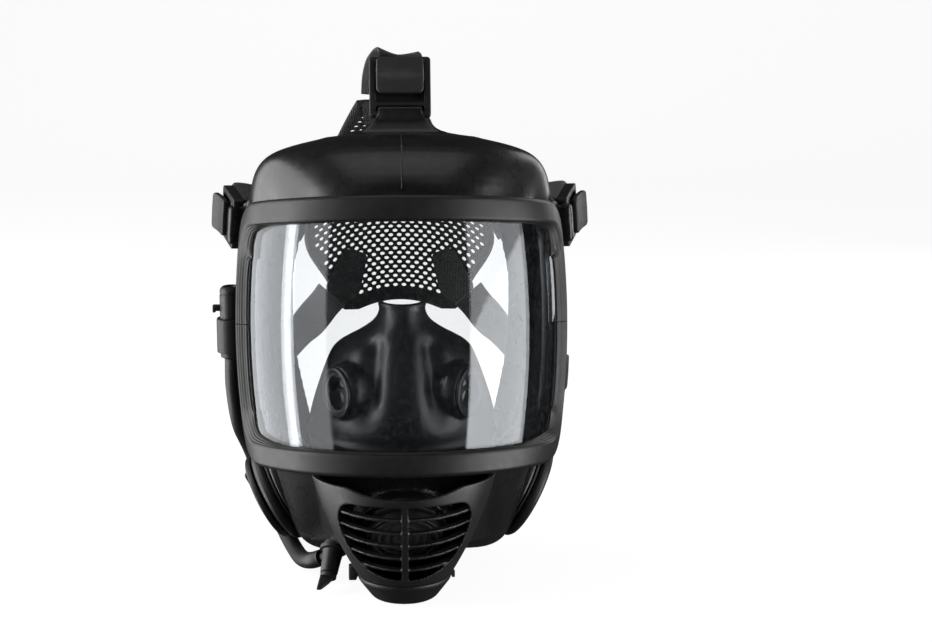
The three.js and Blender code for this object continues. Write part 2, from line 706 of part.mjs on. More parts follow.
// Half band round the back of the chin outlet, closed by a screw lug at the left.
function buildOutletClamp() {
  const [inner, outer, low, high] = [OUTLET.top + GAP, OUTLET.top + 2, 8.5, 12.2];
  const band = cut(ring(inner, outer, low, high, LARGE_ROUND), box(-40, 40, -40, 1, 0, 20));
  const lug = box(-29.4, -OUTLET.top - 0.6, 1, 6, 7.5, 15.5);
  return join(band, lug);
}

// ---------- ports ----------
// Local frame of a port: Z out along its axis, the origin where the sleeve leaves the cheek.
const SLEEVE = { bore: 22.7, seatFrom: -9, from: 0.5, to: 9.4 };

function portMatrix(side) {
  const axis = mirrorX(PORT.axis, side).normalize();
  const origin = mirrorX(PORT.centre, side).addScaledVector(axis, -PORT.length);
  return facing(origin, vec(0, 1, 0.1), axis);
}

// Thick collar of the facepiece round a port, on which the sleeve sits.
const portSeat = () => turned([
  [SLEEVE.bore - 1, SLEEVE.seatFrom], [26.2, SLEEVE.seatFrom], [28.4, -1], [28.4, SLEEVE.from - GAP],
  [SLEEVE.bore - 1, SLEEVE.from - GAP],
], LARGE_ROUND);

const portClearance = () => [
  disc(SLEEVE.bore, -16, 20, LARGE_ROUND),
  ring(22, 31, SLEEVE.from - GAP, 22, LARGE_ROUND),
];

// Stepped rubber sleeve round a port body.
const portSleeve = () => turned([
  [SLEEVE.bore, SLEEVE.from], [28.2, SLEEVE.from], [26.2, 2.9], [27.6, 4.2], [27.6, 7.4],
  [25.4, 8], [25.4, SLEEVE.to], [SLEEVE.bore, SLEEVE.to],
], LARGE_ROUND);

function buildPortBody() {
  const { bore, collar, length } = PORT;
  const tube = SLEEVE.bore - GAP;
  const body = turned([
    [bore, -7], [tube, -7], [tube, SLEEVE.to + GAP], [collar - 1.4, SLEEVE.to + GAP],
    [collar, SLEEVE.to + 1.8], [collar, length - 1.8], [collar - 1.6, length], [bore, length],
  ], LARGE_ROUND);
  const rim = ring(16, bore + 1, -7, -5);
  const spokes = [0, 1].map((k) => box(-16.5, 16.5, -1.1, 1.1, -7, -5).rotateZ((k * Math.PI) / 2));
  return join(body, rim, ...spokes, disc(3.5, -7, -5, 14));
}

function buildPorts(parent) {
  for (const { side, label } of SIDES) {
    const group = groupAt(parent, portMatrix(side));
    add(group, "port_sleeve_" + label, portSleeve(), rubber);
    add(group, "port_body_" + label, buildPortBody(), plastic);
    add(group, "port_clamp_ring_" + label, ring(25.8, 27.2, 8.1, 9.3, LARGE_ROUND), satinPlastic);
    add(group, "port_valve_disc_" + label, disc(18, -8.2, -7.4), softRubber);
  }
}

// Threaded plug that closes the left port, with its sealing ring.
function buildPlug(parent) {
  const group = groupAt(parent, portMatrix(-1));
  const { bore, length } = PORT;
  const seal = length + 0.3;
  add(group, "plug_seal", ring(bore + 0.6, bore + 3, seal, seal + 1.2), softRubber);
  const cap = turned([
    [0, 6], [bore - GAP, 6], [bore - GAP, seal + 1.5], [24.6, seal + 1.5], [24.6, seal + 4.4],
    [23.4, seal + 5.2], [0, seal + 5.2],
  ], LARGE_ROUND);
  const grip = box(-18, 18, -2.4, 2.4, seal + 5, seal + 9);
  add(group, "port_plug", join(cap, grip), plastic);
}

// ---------- nose cup ----------
// Rows from its lower edge to the nose bridge: height, half width, front and rear place.
const CUP_ROWS = [
  [54, 45, 13, 62], [70, 51, 4, 62], [90, 49, 2, 61], [106, 44, 5, 59], [118, 39.5, 9, 56],
  [127, 33, 13.5, 52], [134, 22, 18, 47], [141, 14, 22, 43], [150, 12.5, 26, 39],
];
const CUP_WALL = 2;

function onCup(angle, z, inset) {
  const [wide, front, rear] = smoothRows(CUP_ROWS, z);
  const x = (wide - inset) * Math.sin(angle);
  return vec(x, rear - (rear - front - inset) * Math.cos(angle), z);
}

function cupValveMatrix(side) {
  const turn = THREE.MathUtils.degToRad(58);
  const outer = vec(side * Math.sin(turn), -Math.cos(turn), 0.05);
  return facing(vec(side * 33, 19.5, 105), vec(0, 0, 1), outer);
}

function buildNoseCup(parent) {
  const quarter = Math.PI / 2;
  const [low, high] = [CUP_ROWS[0][0], CUP_ROWS.at(-1)[0]];
  const shell = plate((u, v, face) => onCup(
    THREE.MathUtils.lerp(-quarter, quarter, u),
    THREE.MathUtils.lerp(low, high, v),
    face * CUP_WALL), 12, 8);
  const bosses = SIDES.map(({ side }) => disc(13.8, -13, 1.4).applyMatrix4(cupValveMatrix(side)));
  const bores = SIDES.map(({ side }) => disc(11.6, -20, 12).applyMatrix4(cupValveMatrix(side)));
  add(parent, "nose_cup", cut(join(shell, ...bosses), ...bores), softRubber);
  for (const { side, label } of SIDES) {
    const group = groupAt(parent, cupValveMatrix(side));
    const rim = turned([
      [9, -4.6], [11.2, -4.6], [11.2, 1.8], [13.6, 1.8], [13.6, 3.2], [9, 3.2],
    ]);
    const spokes = [0, 1].map((k) => box(-9.6, 9.6, -1, 1, -4.6, -2.8).rotateZ((k * Math.PI) / 2));
    add(group, "cup_valve_seat_" + label, join(rim, ...spokes, disc(2.6, -4.6, -2.8, 12)), plastic);
    add(group, "cup_valve_disc_" + label, disc(10.4, -5.7, -5), softRubber);
  }
}

// ---------- drinking gear ----------
const COUPLING = { place: vec(-93.6, 84, 110), radius: 6.5, length: 40 };
const FITTING = {
  place: vec(-37, 19, 22.5),
  axis: vec(-4, -16, -17),
  spoutAt: 7, // along its axis, below the flange
  spoutTurn: -0.66, // round its axis, towards the hose
};
const fittingMatrix = facing(FITTING.place, vec(17, 0, -4), FITTING.axis);

// Point on the spout's axis, `reach` mm from the axis of the fitting.
function onSpout(reach) {
  const { spoutAt, spoutTurn } = FITTING;
  const local = vec(reach * Math.cos(spoutTurn), reach * Math.sin(spoutTurn), spoutAt);
  return local.applyMatrix4(fittingMatrix);
}

function buildCoupling(parent) {
  const { place, radius, length } = COUPLING;
  const group = groupAt(parent, new THREE.Matrix4().setPosition(place));
  const body = turned([
    [0, -8], [2.4, -8], [2.4, 0], [radius, 0], [radius, length - 5], [radius - 0.6, length - 4],
    [radius, length - 3], [radius - 0.4, length - 0.8], [radius - 1.6, length], [0, length],
  ]);
  const nub = box(-radius - 4, -radius + 1, -1.6, 1.6, length - 14, length - 10.5);
  add(group, "drink_coupling", join(body, nub), plastic);
  // open ring that snaps round the coupling, on a plate against the facepiece
  const [inner, outer] = [radius + 0.4, radius + 2];
  const clip = cut(ring(inner, outer, 3, 22), box(-20, -1.6, -20, 20, 0, 40));
  const foot = box(outer - 1, outer + 0.9, -7, 8, 1, 24);
  add(group, "coupling_holder", join(clip, foot), rubber);
}

function buildHose(parent) {
  const path = new THREE.CatmullRomCurve3([
    vec(COUPLING.place.x, COUPLING.place.y, COUPLING.place.z - 0.6), vec(-93.5, 84.5, 92),
    vec(-91, 90, 70), vec(-86, 107, 50), vec(-77, 113, 22), vec(-68, 95, 7.5),
    vec(-60, 62, 5.1), vec(-55, 40, 7), onSpout(16), onSpout(8.2),
  ]);
  const tube = new THREE.Shape().absarc(0, 0, HOSE_RADIUS, 0, 2 * Math.PI);
  const bore = new THREE.Path().absarc(0, 0, HOSE_RADIUS - 1.3, 0, 2 * Math.PI);
  tube.holes.push(bore);
  const options = { extrudePath: path, steps: 20, bevelEnabled: false, curveSegments: 4 };
  add(parent, "drink_hose", new THREE.ExtrudeGeometry(tube, options), softRubber);
}

function buildDrinkFitting(parent) {
  const group = groupAt(parent, fittingMatrix);
  // stem through the rubber, dome, flange and tapered barrel
  const body = turned([
    [0, -13], [3, -13], [3, 0], [5.4, 0], [5.8, 2.4], [7.3, 2.8], [7.3, 5], [5.6, 5.4], [4.6, 18],
    [0, 18],
  ]);
  const spout = disc(2.6, 0, 10.2, 14).rotateY(Math.PI / 2).rotateZ(FITTING.spoutTurn);
  add(group, "drink_valve_body", join(body, spout.translate(0, 0, FITTING.spoutAt)), plastic);
  // round cap with a tapered tail that hangs down at its left
  const tail = [[-4.2, 19.5], [3.6, 19.5], [1, 23.5], [-2.4, 27.6], [-4.8, 28], [-4.6, 24]];
  const wing = slab(tail.map(([y, z]) => new THREE.Vector2(y, z)), -1.8, 1.8)
    .rotateX(Math.PI / 2).rotateZ(Math.PI / 2);
  add(group, "drink_lever", join(disc(4.4, 18 + GAP, 20.6), wing), plastic);
  const inside = (x, y, z) => vec(x, y, z).applyMatrix4(fittingMatrix);
  const path = new THREE.CatmullRomCurve3([
    inside(0, 0, -13.5), inside(0, 0, -20), vec(-20, 44, 46), vec(-7, 42, 64), vec(-3, 32, 82),
  ]);
  const tube = new THREE.Shape().absarc(0, 0, 3, 0, 2 * Math.PI);
  tube.holes.push(new THREE.Path().absarc(0, 0, 1.8, 0, 2 * Math.PI));
  const options = { extrudePath: path, steps: 8, bevelEnabled: false, curveSegments: 3 };
  add(parent, "inner_drink_tube", new THREE.ExtrudeGeometry(tube, options), softRubber);
}

// ---------- assembly ----------
add(respirator, "visor", buildVisor(), lens);
add(respirator, "bezel_upper", buildBezel(true), plastic);
add(respirator, "bezel_lower", buildBezel(false), plastic);
SIDES.forEach(({ side, label }) => add(respirator, "bezel_screw_" + label, buildBezelScrew(side), steel));
buildBuckles(respirator);
buildHarness(respirator);
buildFrontModule(respirator);
add(respirator, "outlet_clamp", buildOutletClamp(), satinPlastic);
buildPorts(respirator);
buildPlug(respirator);
buildNoseCup(respirator);
buildCoupling(respirator);
buildHose(respirator);
buildDrinkFitting(respirator);

const skin = loft(wholeOutline.map(facepieceSection));
const rubberParts = [
  skin,
  moduleSocket(),
  ...BUCKLES.map(buildTab),
  ...SIDES.map(({ side }) => coverCollar(side)),
  chinFloor(),
  ...SIDES.map(({ side }) => portSeat().applyMatrix4(portMatrix(side))),
];
const openings = [
  ...socketClearance(),
  coverShell(-GAP, MODULE.wall + GAP, GAP),
  disc(3 + GAP, -30, 4, 16).applyMatrix4(fittingMatrix),
  ...SIDES.flatMap(({ side }) => portClearance().map((tool) => tool.applyMatrix4(portMatrix(side)))),
];
add(respirator, "facepiece", cut(join(...rubberParts), ...openings), rubber);

respirator.name = "full_face_respirator";
export default respirator;
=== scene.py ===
import math

import bmesh
import bpy
import numpy as np
from mathutils import Matrix, Vector
from mathutils.geometry import delaunay_2d_cdt


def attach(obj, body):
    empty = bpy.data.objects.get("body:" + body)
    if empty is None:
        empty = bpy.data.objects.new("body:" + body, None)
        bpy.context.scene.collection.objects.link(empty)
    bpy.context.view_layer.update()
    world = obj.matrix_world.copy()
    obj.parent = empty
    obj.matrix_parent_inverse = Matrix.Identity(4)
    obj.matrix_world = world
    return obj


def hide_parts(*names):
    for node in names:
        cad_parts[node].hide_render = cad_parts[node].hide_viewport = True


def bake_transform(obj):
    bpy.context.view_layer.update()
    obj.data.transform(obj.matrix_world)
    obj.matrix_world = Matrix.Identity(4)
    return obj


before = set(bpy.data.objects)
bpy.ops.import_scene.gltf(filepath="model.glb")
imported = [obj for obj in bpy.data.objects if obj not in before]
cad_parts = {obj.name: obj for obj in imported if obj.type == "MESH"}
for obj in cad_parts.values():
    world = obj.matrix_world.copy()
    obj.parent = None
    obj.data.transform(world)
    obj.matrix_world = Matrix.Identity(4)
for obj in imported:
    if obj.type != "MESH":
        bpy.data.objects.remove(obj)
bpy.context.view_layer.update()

# Full face respirator. Shapes are worked out in millimetres in the frame of the CAD model
# (+Z up, the face looks along -Y, left is -X) and stored in metres.
MM = 0.001
BODY = "mask"
IDENTITY = np.eye(4)
SIDES = ((-1, "left"), (1, "right"))

# ---------- driving dimensions (the CAD model's own) ----------
GAP = 0.35
ARC = 78.0  # mean radius that turns arc length round the face into an angle
VISOR_LEAN = math.radians(8.5)
VISOR_BASE = np.array([0.0, 55.0, 0.0])
VISOR_FORWARD = 19.0
VISOR_HALF_WIDTH = 85.3
VISOR_WIDEST_AT = 133.0
VISOR_NARROWING = 0.0011
VISOR_DEPTH = 73.0
VISOR_DEPTH_LOSS = 0.028
VISOR_THICKNESS = 2.2
RIM_HALF_HEIGHT = 68.25
RIM_MIDDLE = 128.75
RIM_CORNER = 30.0
RIM_BAND = 12.5
RIM_SPLIT = 5.0
ARCH_TOP = 5.0
ARCH_BOTTOM = 1.5
CORNER_FROM, CORNER_TO = 0.35, 0.6
CORE_LENGTH = ARC * math.pi / 2 - RIM_CORNER
CORE_HEIGHT = RIM_HALF_HEIGHT - RIM_CORNER

WALL = 3.0
SEAL_WIDTH = 20.0
FACE_CENTRE = np.array([0.0, 75.0, 130.0])
BULGE = [
    (0, 40, 255), (46, 46, 252), (86, 62, 237), (90, 84, 192), (84, 92, 138),
    (83, 92, 95), (62, 82, 18), (58, 52, -18), (0, 4, 4),
]
REAR_EDGE = [
    (0, 86, 226), (38, 90, 221), (62, 100, 203), (74, 112, 172), (78, 120, 138),
    (75, 120, 98), (60, 108, 46), (42, 92, 18), (0, 78, 13),
]

COVER_BOTTOM, COVER_TOP, COVER_WALL, COVER_WING = 13.0, 62.8, 2.4, 5.0
BARS, FIRST_BAR, BAR_PITCH, BAR_RISE, BAR_THICKNESS = 5, 22.9, 7.25, 5.0, 1.6
UPRIGHT_WIDTH = 3.4
OUTLET_FOOT, OUTLET_TOP, OUTLET_HEIGHT, OUTLET_WALL = 16.0, 24.6, 12.6, 2.2
SOCKET_BORE, SOCKET_SEAT, SOCKET_OUTER = 20.4, 24.0, 26.5

PORT_BORE, PORT_COLLAR, PORT_LENGTH, PORT_TUBE = 20.0, 28.5, 16.0, 22.35
PORT_CENTRE = (71.5, 75.0, 34.0)
PORT_AXIS = (0.88, 0.12, -0.456)
THREAD_PITCH, THREAD_DEPTH = 3.63, 0.8

BUCKLE_LENGTH, BUCKLE_THICKNESS, BUCKLE_RAIL, PIN_AT = 33.0, 6.0, 3.6, -0.5
BUCKLE_HALF = BUCKLE_LENGTH / 2
STRAP_WIDTH, TOP_STRAP_WIDTH, STRAP_THICKNESS = 20.0, 25.0, 1.8
PAD_ROWS = [
    (126, 34, 172), (145, 42, 179), (165, 54, 184), (190, 47, 178), (223, 30, 155), (246, 14, 128),
]
PAD_HEM_DROP, PAD_WRAP, PAD_LEAN, PAD_LEAN_FROM = 9.0, 110.0, 9.0, 165.0
CUP_ROWS = [
    (54, 45, 13, 62), (70, 51, 4, 62), (90, 49, 2, 61), (106, 44, 5, 59), (118, 39.5, 9, 56),
    (127, 33, 13.5, 52), (134, 22, 18, 47), (141, 14, 22, 43), (150, 12.5, 26, 39),
]
COUPLING_PLACE = np.array([-93.6, 84.0, 110.0])
COUPLING_RADIUS, COUPLING_LENGTH = 6.5, 40.0
HOSE_RADIUS, HOSE_BORE = 4.5, 3.2
FITTING_PLACE = np.array([-37.0, 19.0, 22.5])
FITTING_AXIS = (-4.0, -16.0, -17.0)
SPOUT_AT, SPOUT_TURN = 7.0, -0.66


# ---------- placing ----------
def unit(v):
    v = np.asarray(v, float)
    return v / np.linalg.norm(v)


def facing(origin, along, outer):
    """Matrix whose local Y runs along `along` and whose local Z is the outer side."""
    y = unit(along)
    z = unit(np.asarray(outer, float) - y * np.dot(outer, y))
    place = np.eye(4)
    place[:3, 0], place[:3, 1], place[:3, 2], place[:3, 3] = np.cross(y, z), y, z, origin
    return place


def moved(points, place):
    return np.asarray(points, float) @ place[:3, :3].T + place[:3, 3]


def turned_about(axis, degrees):
    return np.array(Matrix.Rotation(math.radians(degrees), 4, axis))


def shifted(x=0.0, y=0.0, z=0.0):
    place = np.eye(4)
    place[:3, 3] = x, y, z
    return place


def mirrored(v, side):
    return np.array([v[0] * side, v[1], v[2]], float)


def port_place(side):
    axis = unit(mirrored(PORT_AXIS, side))
    return facing(mirrored(PORT_CENTRE, side) - axis * PORT_LENGTH, (0, 1, 0.1), axis)


def cup_valve_place(side):
    turn = math.radians(58)
    return facing((side * 33, 19.5, 105), (0, 0, 1), (side * math.sin(turn), -math.cos(turn), 0.05))


MODULE_PLACE = shifted(0, -2, 40) @ turned_about("X", 125)
FITTING = facing(FITTING_PLACE, (17, 0, -4), FITTING_AXIS)

BUCKLES = [
    dict(name="top", width=33.0, tab_width=44.0, tab_root=(0, 62, 234),
         place=facing((0, 78, 259), (0, 0.33, 0.94), (0, -0.94, 0.33))),
]
for _side, _label in SIDES:
    BUCKLES.append(dict(
        name="temple_" + _label, width=28.0, tab_width=26.0, tab_root=(_side * 78.5, 78, 187),
        place=facing((_side * 92.5, 93, 187), mirrored((0.24, 0.96, 0.12), _side),
                     mirrored((0.96, -0.24, 0.05), _side))))
for _side, _label in SIDES:
    BUCKLES.append(dict(
        name="jaw_" + _label, width=28.0, tab_width=26.0, tab_root=(_side * 79, 88, 91),
        place=facing((_side * 88, 115, 90), mirrored((0.04, 0.98, -0.04), _side),
                     mirrored((0.98, -0.04, -0.05), _side))))


# ---------- curves ----------
def spline(points, count, closed=False):
    """Evenly stepped Catmull-Rom curve through the points."""
    points = np.asarray(points, float)
    spans = len(points) if closed else len(points) - 1
    return spline_at(points, np.linspace(0, spans, count, endpoint=not closed), closed)


def spline_at(points, places, closed=False):
    points = np.asarray(points, float)
    count = len(points)
    if not closed:
        ends = [2 * points[0] - points[1]], [2 * points[-1] - points[-2]]
        points = np.concatenate([ends[0], points, ends[1]])
        i = np.clip(np.floor(places).astype(int), 0, count - 2)
        p0, p1, p2, p3 = (points[i + k] for k in range(4))
    else:
        i = np.floor(places).astype(int)
        p0, p1, p2, p3 = (points[(i + k) % count] for k in (-1, 0, 1, 2))
    f = (places - i)[:, None]
    return 0.5 * (2 * p1 + (p2 - p0) * f + (2 * p0 - 5 * p1 + 4 * p2 - p3) * f ** 2
                  + (3 * p1 - p0 - 3 * p2 + p3) * f ** 3)


def smooth_rows(rows, x):
    """Natural cubic through the columns of `rows` against their first column."""
    rows = np.asarray(rows, float)
    x = np.atleast_1d(np.asarray(x, float))
    heights, values = rows[:, 0], rows[:, 1:]
    gaps = np.diff(heights)
    count = len(heights)
    system = np.eye(count)
    right = np.zeros_like(values)
    for k in range(1, count - 1):
        system[k, k - 1:k + 2] = gaps[k - 1], 2 * (gaps[k - 1] + gaps[k]), gaps[k]
        right[k] = 6 * ((values[k + 1] - values[k]) / gaps[k] - (values[k] - values[k - 1]) / gaps[k - 1])
    bend = np.linalg.solve(system, right)
    i = np.clip(np.searchsorted(heights, x) - 1, 0, count - 2)
    h = gaps[i][:, None]
    a, b = (heights[i + 1] - x)[:, None], (x - heights[i])[:, None]
    return (bend[i] * a ** 3 + bend[i + 1] * b ** 3) / (6 * h) + \
        (values[i] / h - bend[i] * h / 6) * a + (values[i + 1] / h - bend[i + 1] * h / 6) * b


def softened(outline, radius, closed=True, steps=4):
    """Flat outline with each corner rounded by up to `radius`."""
    outline = np.asarray(outline, float)
    count = len(outline)
    points = []
    for i in range(count):
        if not closed and i in (0, count - 1):
            points.append(outline[i])
            continue
        here, before, after = outline[i], outline[i - 1], outline[(i + 1) % count]
        back = min(radius, 0.45 * np.linalg.norm(before - here))
        ahead = min(radius, 0.45 * np.linalg.norm(after - here))
        start, end = here + unit(before - here) * back, here + unit(after - here) * ahead
        for t in np.linspace(0, 1, steps):
            points.append((1 - t) ** 2 * start + 2 * t * (1 - t) * here + t ** 2 * end)
    return np.array(points)


def rounded_rectangle(x0, x1, y0, y1, r, steps=8):
    points = []
    for k, (cx, cy) in enumerate([(x1 - r, y1 - r), (x0 + r, y1 - r), (x0 + r, y0 + r), (x1 - r, y0 + r)]):
        for a in np.linspace(0, math.pi / 2, steps) + k * math.pi / 2:
            points.append((cx + r * math.cos(a), cy + r * math.sin(a)))
    return np.array(points)


def circle(radius, count=32):
    a = np.linspace(0, 2 * math.pi, count, endpoint=False)
    return np.stack([radius * np.cos(a), radius * np.sin(a)], -1)


# ---------- mesh helpers ----------
def make(name, points, faces, material, place=IDENTITY, sharp=35):
    """Mesh object with merged vertices and outward faces, from points in millimetres."""
    mesh = bpy.data.meshes.new(name)
    mesh.from_pydata((moved(points, place) * MM).tolist(), [], [[int(i) for i in f] for f in faces])
    work = bmesh.new()
    work.from_mesh(mesh)
    bmesh.ops.remove_doubles(work, verts=work.verts, dist=1e-6)
    bmesh.ops.dissolve_degenerate(work, edges=work.edges, dist=1e-7)
    bmesh.ops.recalc_face_normals(work, faces=work.faces)
    work.to_mesh(mesh)
    work.free()
    return settle(name, mesh, material, sharp)


def settle(name, mesh, material, sharp=35):
    mesh.materials.clear()
    mesh.materials.append(material)
    mesh.shade_smooth()
    mesh.set_sharp_from_angle(angle=math.radians(sharp))
    obj = bpy.data.objects.new(name, mesh)
    bpy.context.scene.collection.objects.link(obj)
    return obj


def grid_faces(rows, columns, wrap_rows=False, wrap_columns=False):
    i, j = np.meshgrid(np.arange(rows if wrap_rows else rows - 1),
                       np.arange(columns if wrap_columns else columns - 1), indexing="ij")
    next_row, next_column = (i + 1) % rows, (j + 1) % columns
    corners = [i * columns + j, next_row * columns + j, next_row * columns + next_column,
               i * columns + next_column]
    return np.stack(corners, -1).reshape(-1, 4).tolist()


def loft(name, sections, material, closed=False, place=IDENTITY, sharp=35):
    """Skin over closed sections: a ring, or a bar with a cap at each end."""
    sections = np.asarray(sections, float)
    rows, columns = sections.shape[:2]
    faces = grid_faces(rows, columns, closed, True)
    if not closed:
        faces.append(list(range(columns))[::-1])
        faces.append(list(range((rows - 1) * columns, rows * columns)))
    return make(name, sections.reshape(-1, 3), faces, material, place, sharp)


def turned(name, profile, material, place=IDENTITY, segments=96, soft=0.0, sharp=35):
    """Solid turned about Z from (radius, height) pairs."""
    profile = np.asarray(profile, float)
    closed = profile[0][0] > 0
    if soft:
        profile = softened(profile, soft, closed)
    a = np.linspace(0, 2 * math.pi, segments, endpoint=False)
    points = np.stack([np.outer(np.cos(a), profile[:, 0]), np.outer(np.sin(a), profile[:, 0]),
                       np.outer(np.ones(segments), profile[:, 1])], -1)
    faces = grid_faces(segments, len(profile), True, closed)
    return make(name, points.reshape(-1, 3), faces, material, place, sharp)


def disc(name, radius, low, high, material=None, place=IDENTITY, segments=96, soft=0.0):
    return turned(name, [(0, low), (radius, low), (radius, high), (0, high)], material, place,
                  segments, soft)


def hoop(name, inner, outer, low, high, material=None, place=IDENTITY, segments=96, soft=0.0):
    return turned(name, [(inner, low), (outer, low), (outer, high), (inner, high)], material, place,
                  segments, soft)


def box(name, low, high, material=None, place=IDENTITY, soft=0.0):
    low, high = np.asarray(low, float), np.asarray(high, float)
    corners = [[(low, high)[k][i] for i, k in enumerate(bits)] for bits in
               [(0, 0, 0), (1, 0, 0), (1, 1, 0), (0, 1, 0), (0, 0, 1), (1, 0, 1), (1, 1, 1), (0, 1, 1)]]
    faces = [(0, 3, 2, 1), (4, 5, 6, 7), (0, 1, 5, 4), (1, 2, 6, 5), (2, 3, 7, 6), (3, 0, 4, 7)]
    obj = make(name, corners, faces, material, place)
    if soft:
        work = bmesh.new()
        work.from_mesh(obj.data)
        bmesh.ops.bevel(work, geom=work.edges, offset=soft * MM, segments=3, profile=0.5, affect="EDGES")
        work.to_mesh(obj.data)
        work.free()
        obj.data.shade_smooth()
        obj.data.set_sharp_from_angle(angle=math.radians(35))
    return obj


def plate(name, at, columns, rows, material, sharp=35):
    """Curved plate; at(u, v, face) gives points of its outer (0) or inner (1) face."""
    u, v = np.meshgrid(np.linspace(0, 1, columns + 1), np.linspace(0, 1, rows + 1), indexing="ij")
    outer, inner = (at(u.ravel(), v.ravel(), face) for face in (0, 1))
    width = rows + 1
    size = (columns + 1) * width
    front = grid_faces(columns + 1, width)
    faces = front + [[size + i for i in reversed(f)] for f in front]
    edge = [i * width for i in range(columns + 1)]
    edge += [columns * width + j for j in range(1, width)]
    edge += [i * width + rows for i in range(columns - 1, -1, -1)]
    edge += list(range(rows - 1, 0, -1))
    for here, after in zip(edge, edge[1:] + edge[:1]):
        faces.append([here, size + here, size + after, after])
    return make(name, np.concatenate([outer, inner]), faces, material, sharp=sharp)


def rounded_plate(name, outlines, low, high, edge, material, place=IDENTITY):
    """Flat plate with holes (every outline after the first) and rounded edges."""
    curve = bpy.data.curves.new(name, "CURVE")
    curve.dimensions = "2D"
    curve.fill_mode = "BOTH"
    for outline in outlines:
        piece = curve.splines.new("POLY")
        piece.points.add(len(outline) - 1)
        for point, (x, y) in zip(piece.points, outline):
            point.co = (x, y, 0, 1)
        piece.use_cyclic_u = True
    curve.extrude = (high - low) / 2 - edge
    curve.bevel_depth = edge
    curve.bevel_resolution = 2
    curve.offset = -edge
    source = bpy.data.objects.new(name + "_curve", curve)
    mesh = bpy.data.meshes.new_from_object(source)
    bpy.data.objects.remove(source)
    points = np.array([v.co for v in mesh.vertices]) + (0, 0, (low + high) / 2)
    faces = [list(f.vertices) for f in mesh.polygons]
    bpy.data.meshes.remove(mesh)
    return make(name, points, faces, material, place)


def sweep_frames(path, across):
    """Tangent, width direction and face direction at each point of a path."""
    path = np.asarray(path, float)
    tangent = np.gradient(path, axis=0)
    tangent /= np.linalg.norm(tangent, axis=1)[:, None]
    across = np.asarray(across, float) * np.ones_like(path)
    across = across - tangent * np.sum(across * tangent, axis=1)[:, None]
    across /= np.linalg.norm(across, axis=1)[:, None]
    return tangent, across, np.cross(tangent, across)


def sweep(name, path, section, material, across=(0, 0, 1), place=IDENTITY):
    """Bar with a flat section (width, height) along a path."""
    _, width, height = sweep_frames(path, across)
    section = np.asarray(section, float)
    if section.ndim == 2:
        section = np.repeat(section[None], len(path), axis=0)
    points = np.asarray(path)[:, None] + section[..., :1] * width[:, None] + section[..., 1:] * height[:, None]
    return loft(name, points, material, place=place)


def boolean(target, tools, operation):
    for tool in tools:
        modifier = target.modifiers.new(operation.lower(), "BOOLEAN")
        modifier.operation = operation
        modifier.solver = "MANIFOLD"
        modifier.object = tool
        apply_modifiers(target)
        bpy.data.objects.remove(tool)
    return target


def fused(target, *others):
    return boolean(target, others, "UNION")


def carved(target, *tools):
    return boolean(target, tools, "DIFFERENCE")


def apply_modifiers(obj):
    """Bakes the modifiers and keeps the sharp edges by angle."""
    evaluated = obj.evaluated_get(bpy.context.evaluated_depsgraph_get())
    mesh = bpy.data.meshes.new_from_object(evaluated)
    old, name = obj.data, obj.data.name
    obj.modifiers.clear()
    obj.data = mesh
    bpy.data.meshes.remove(old)
    mesh.name = name
    mesh.shade_smooth()
    mesh.set_sharp_from_angle(angle=math.radians(35))
    return obj


def melted(name, parts, voxel, smoothing, material):
    """One moulded skin over overlapping solids, with its inner corners filleted."""
    joined = bmesh.new()
    for part in parts:
        joined.from_mesh(part.data)
        bpy.data.objects.remove(part)
    mesh = bpy.data.meshes.new(name)
    joined.to_mesh(mesh)
    joined.free()
    obj = settle(name, mesh, material)
    remesh = obj.modifiers.new("remesh", "REMESH")
    remesh.mode = "VOXEL"
    remesh.voxel_size = voxel * MM
    smooth = obj.modifiers.new("smooth", "SMOOTH")
    smooth.factor = 0.5
    smooth.iterations = smoothing
    return apply_modifiers(obj)


def keep(obj, slot, *nodes, body=BODY):
    """Puts a finished piece on its body; `nodes` are the CAD nodes it stands for."""
    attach(obj, body)
    if nodes:
        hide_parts(*nodes)
    return obj


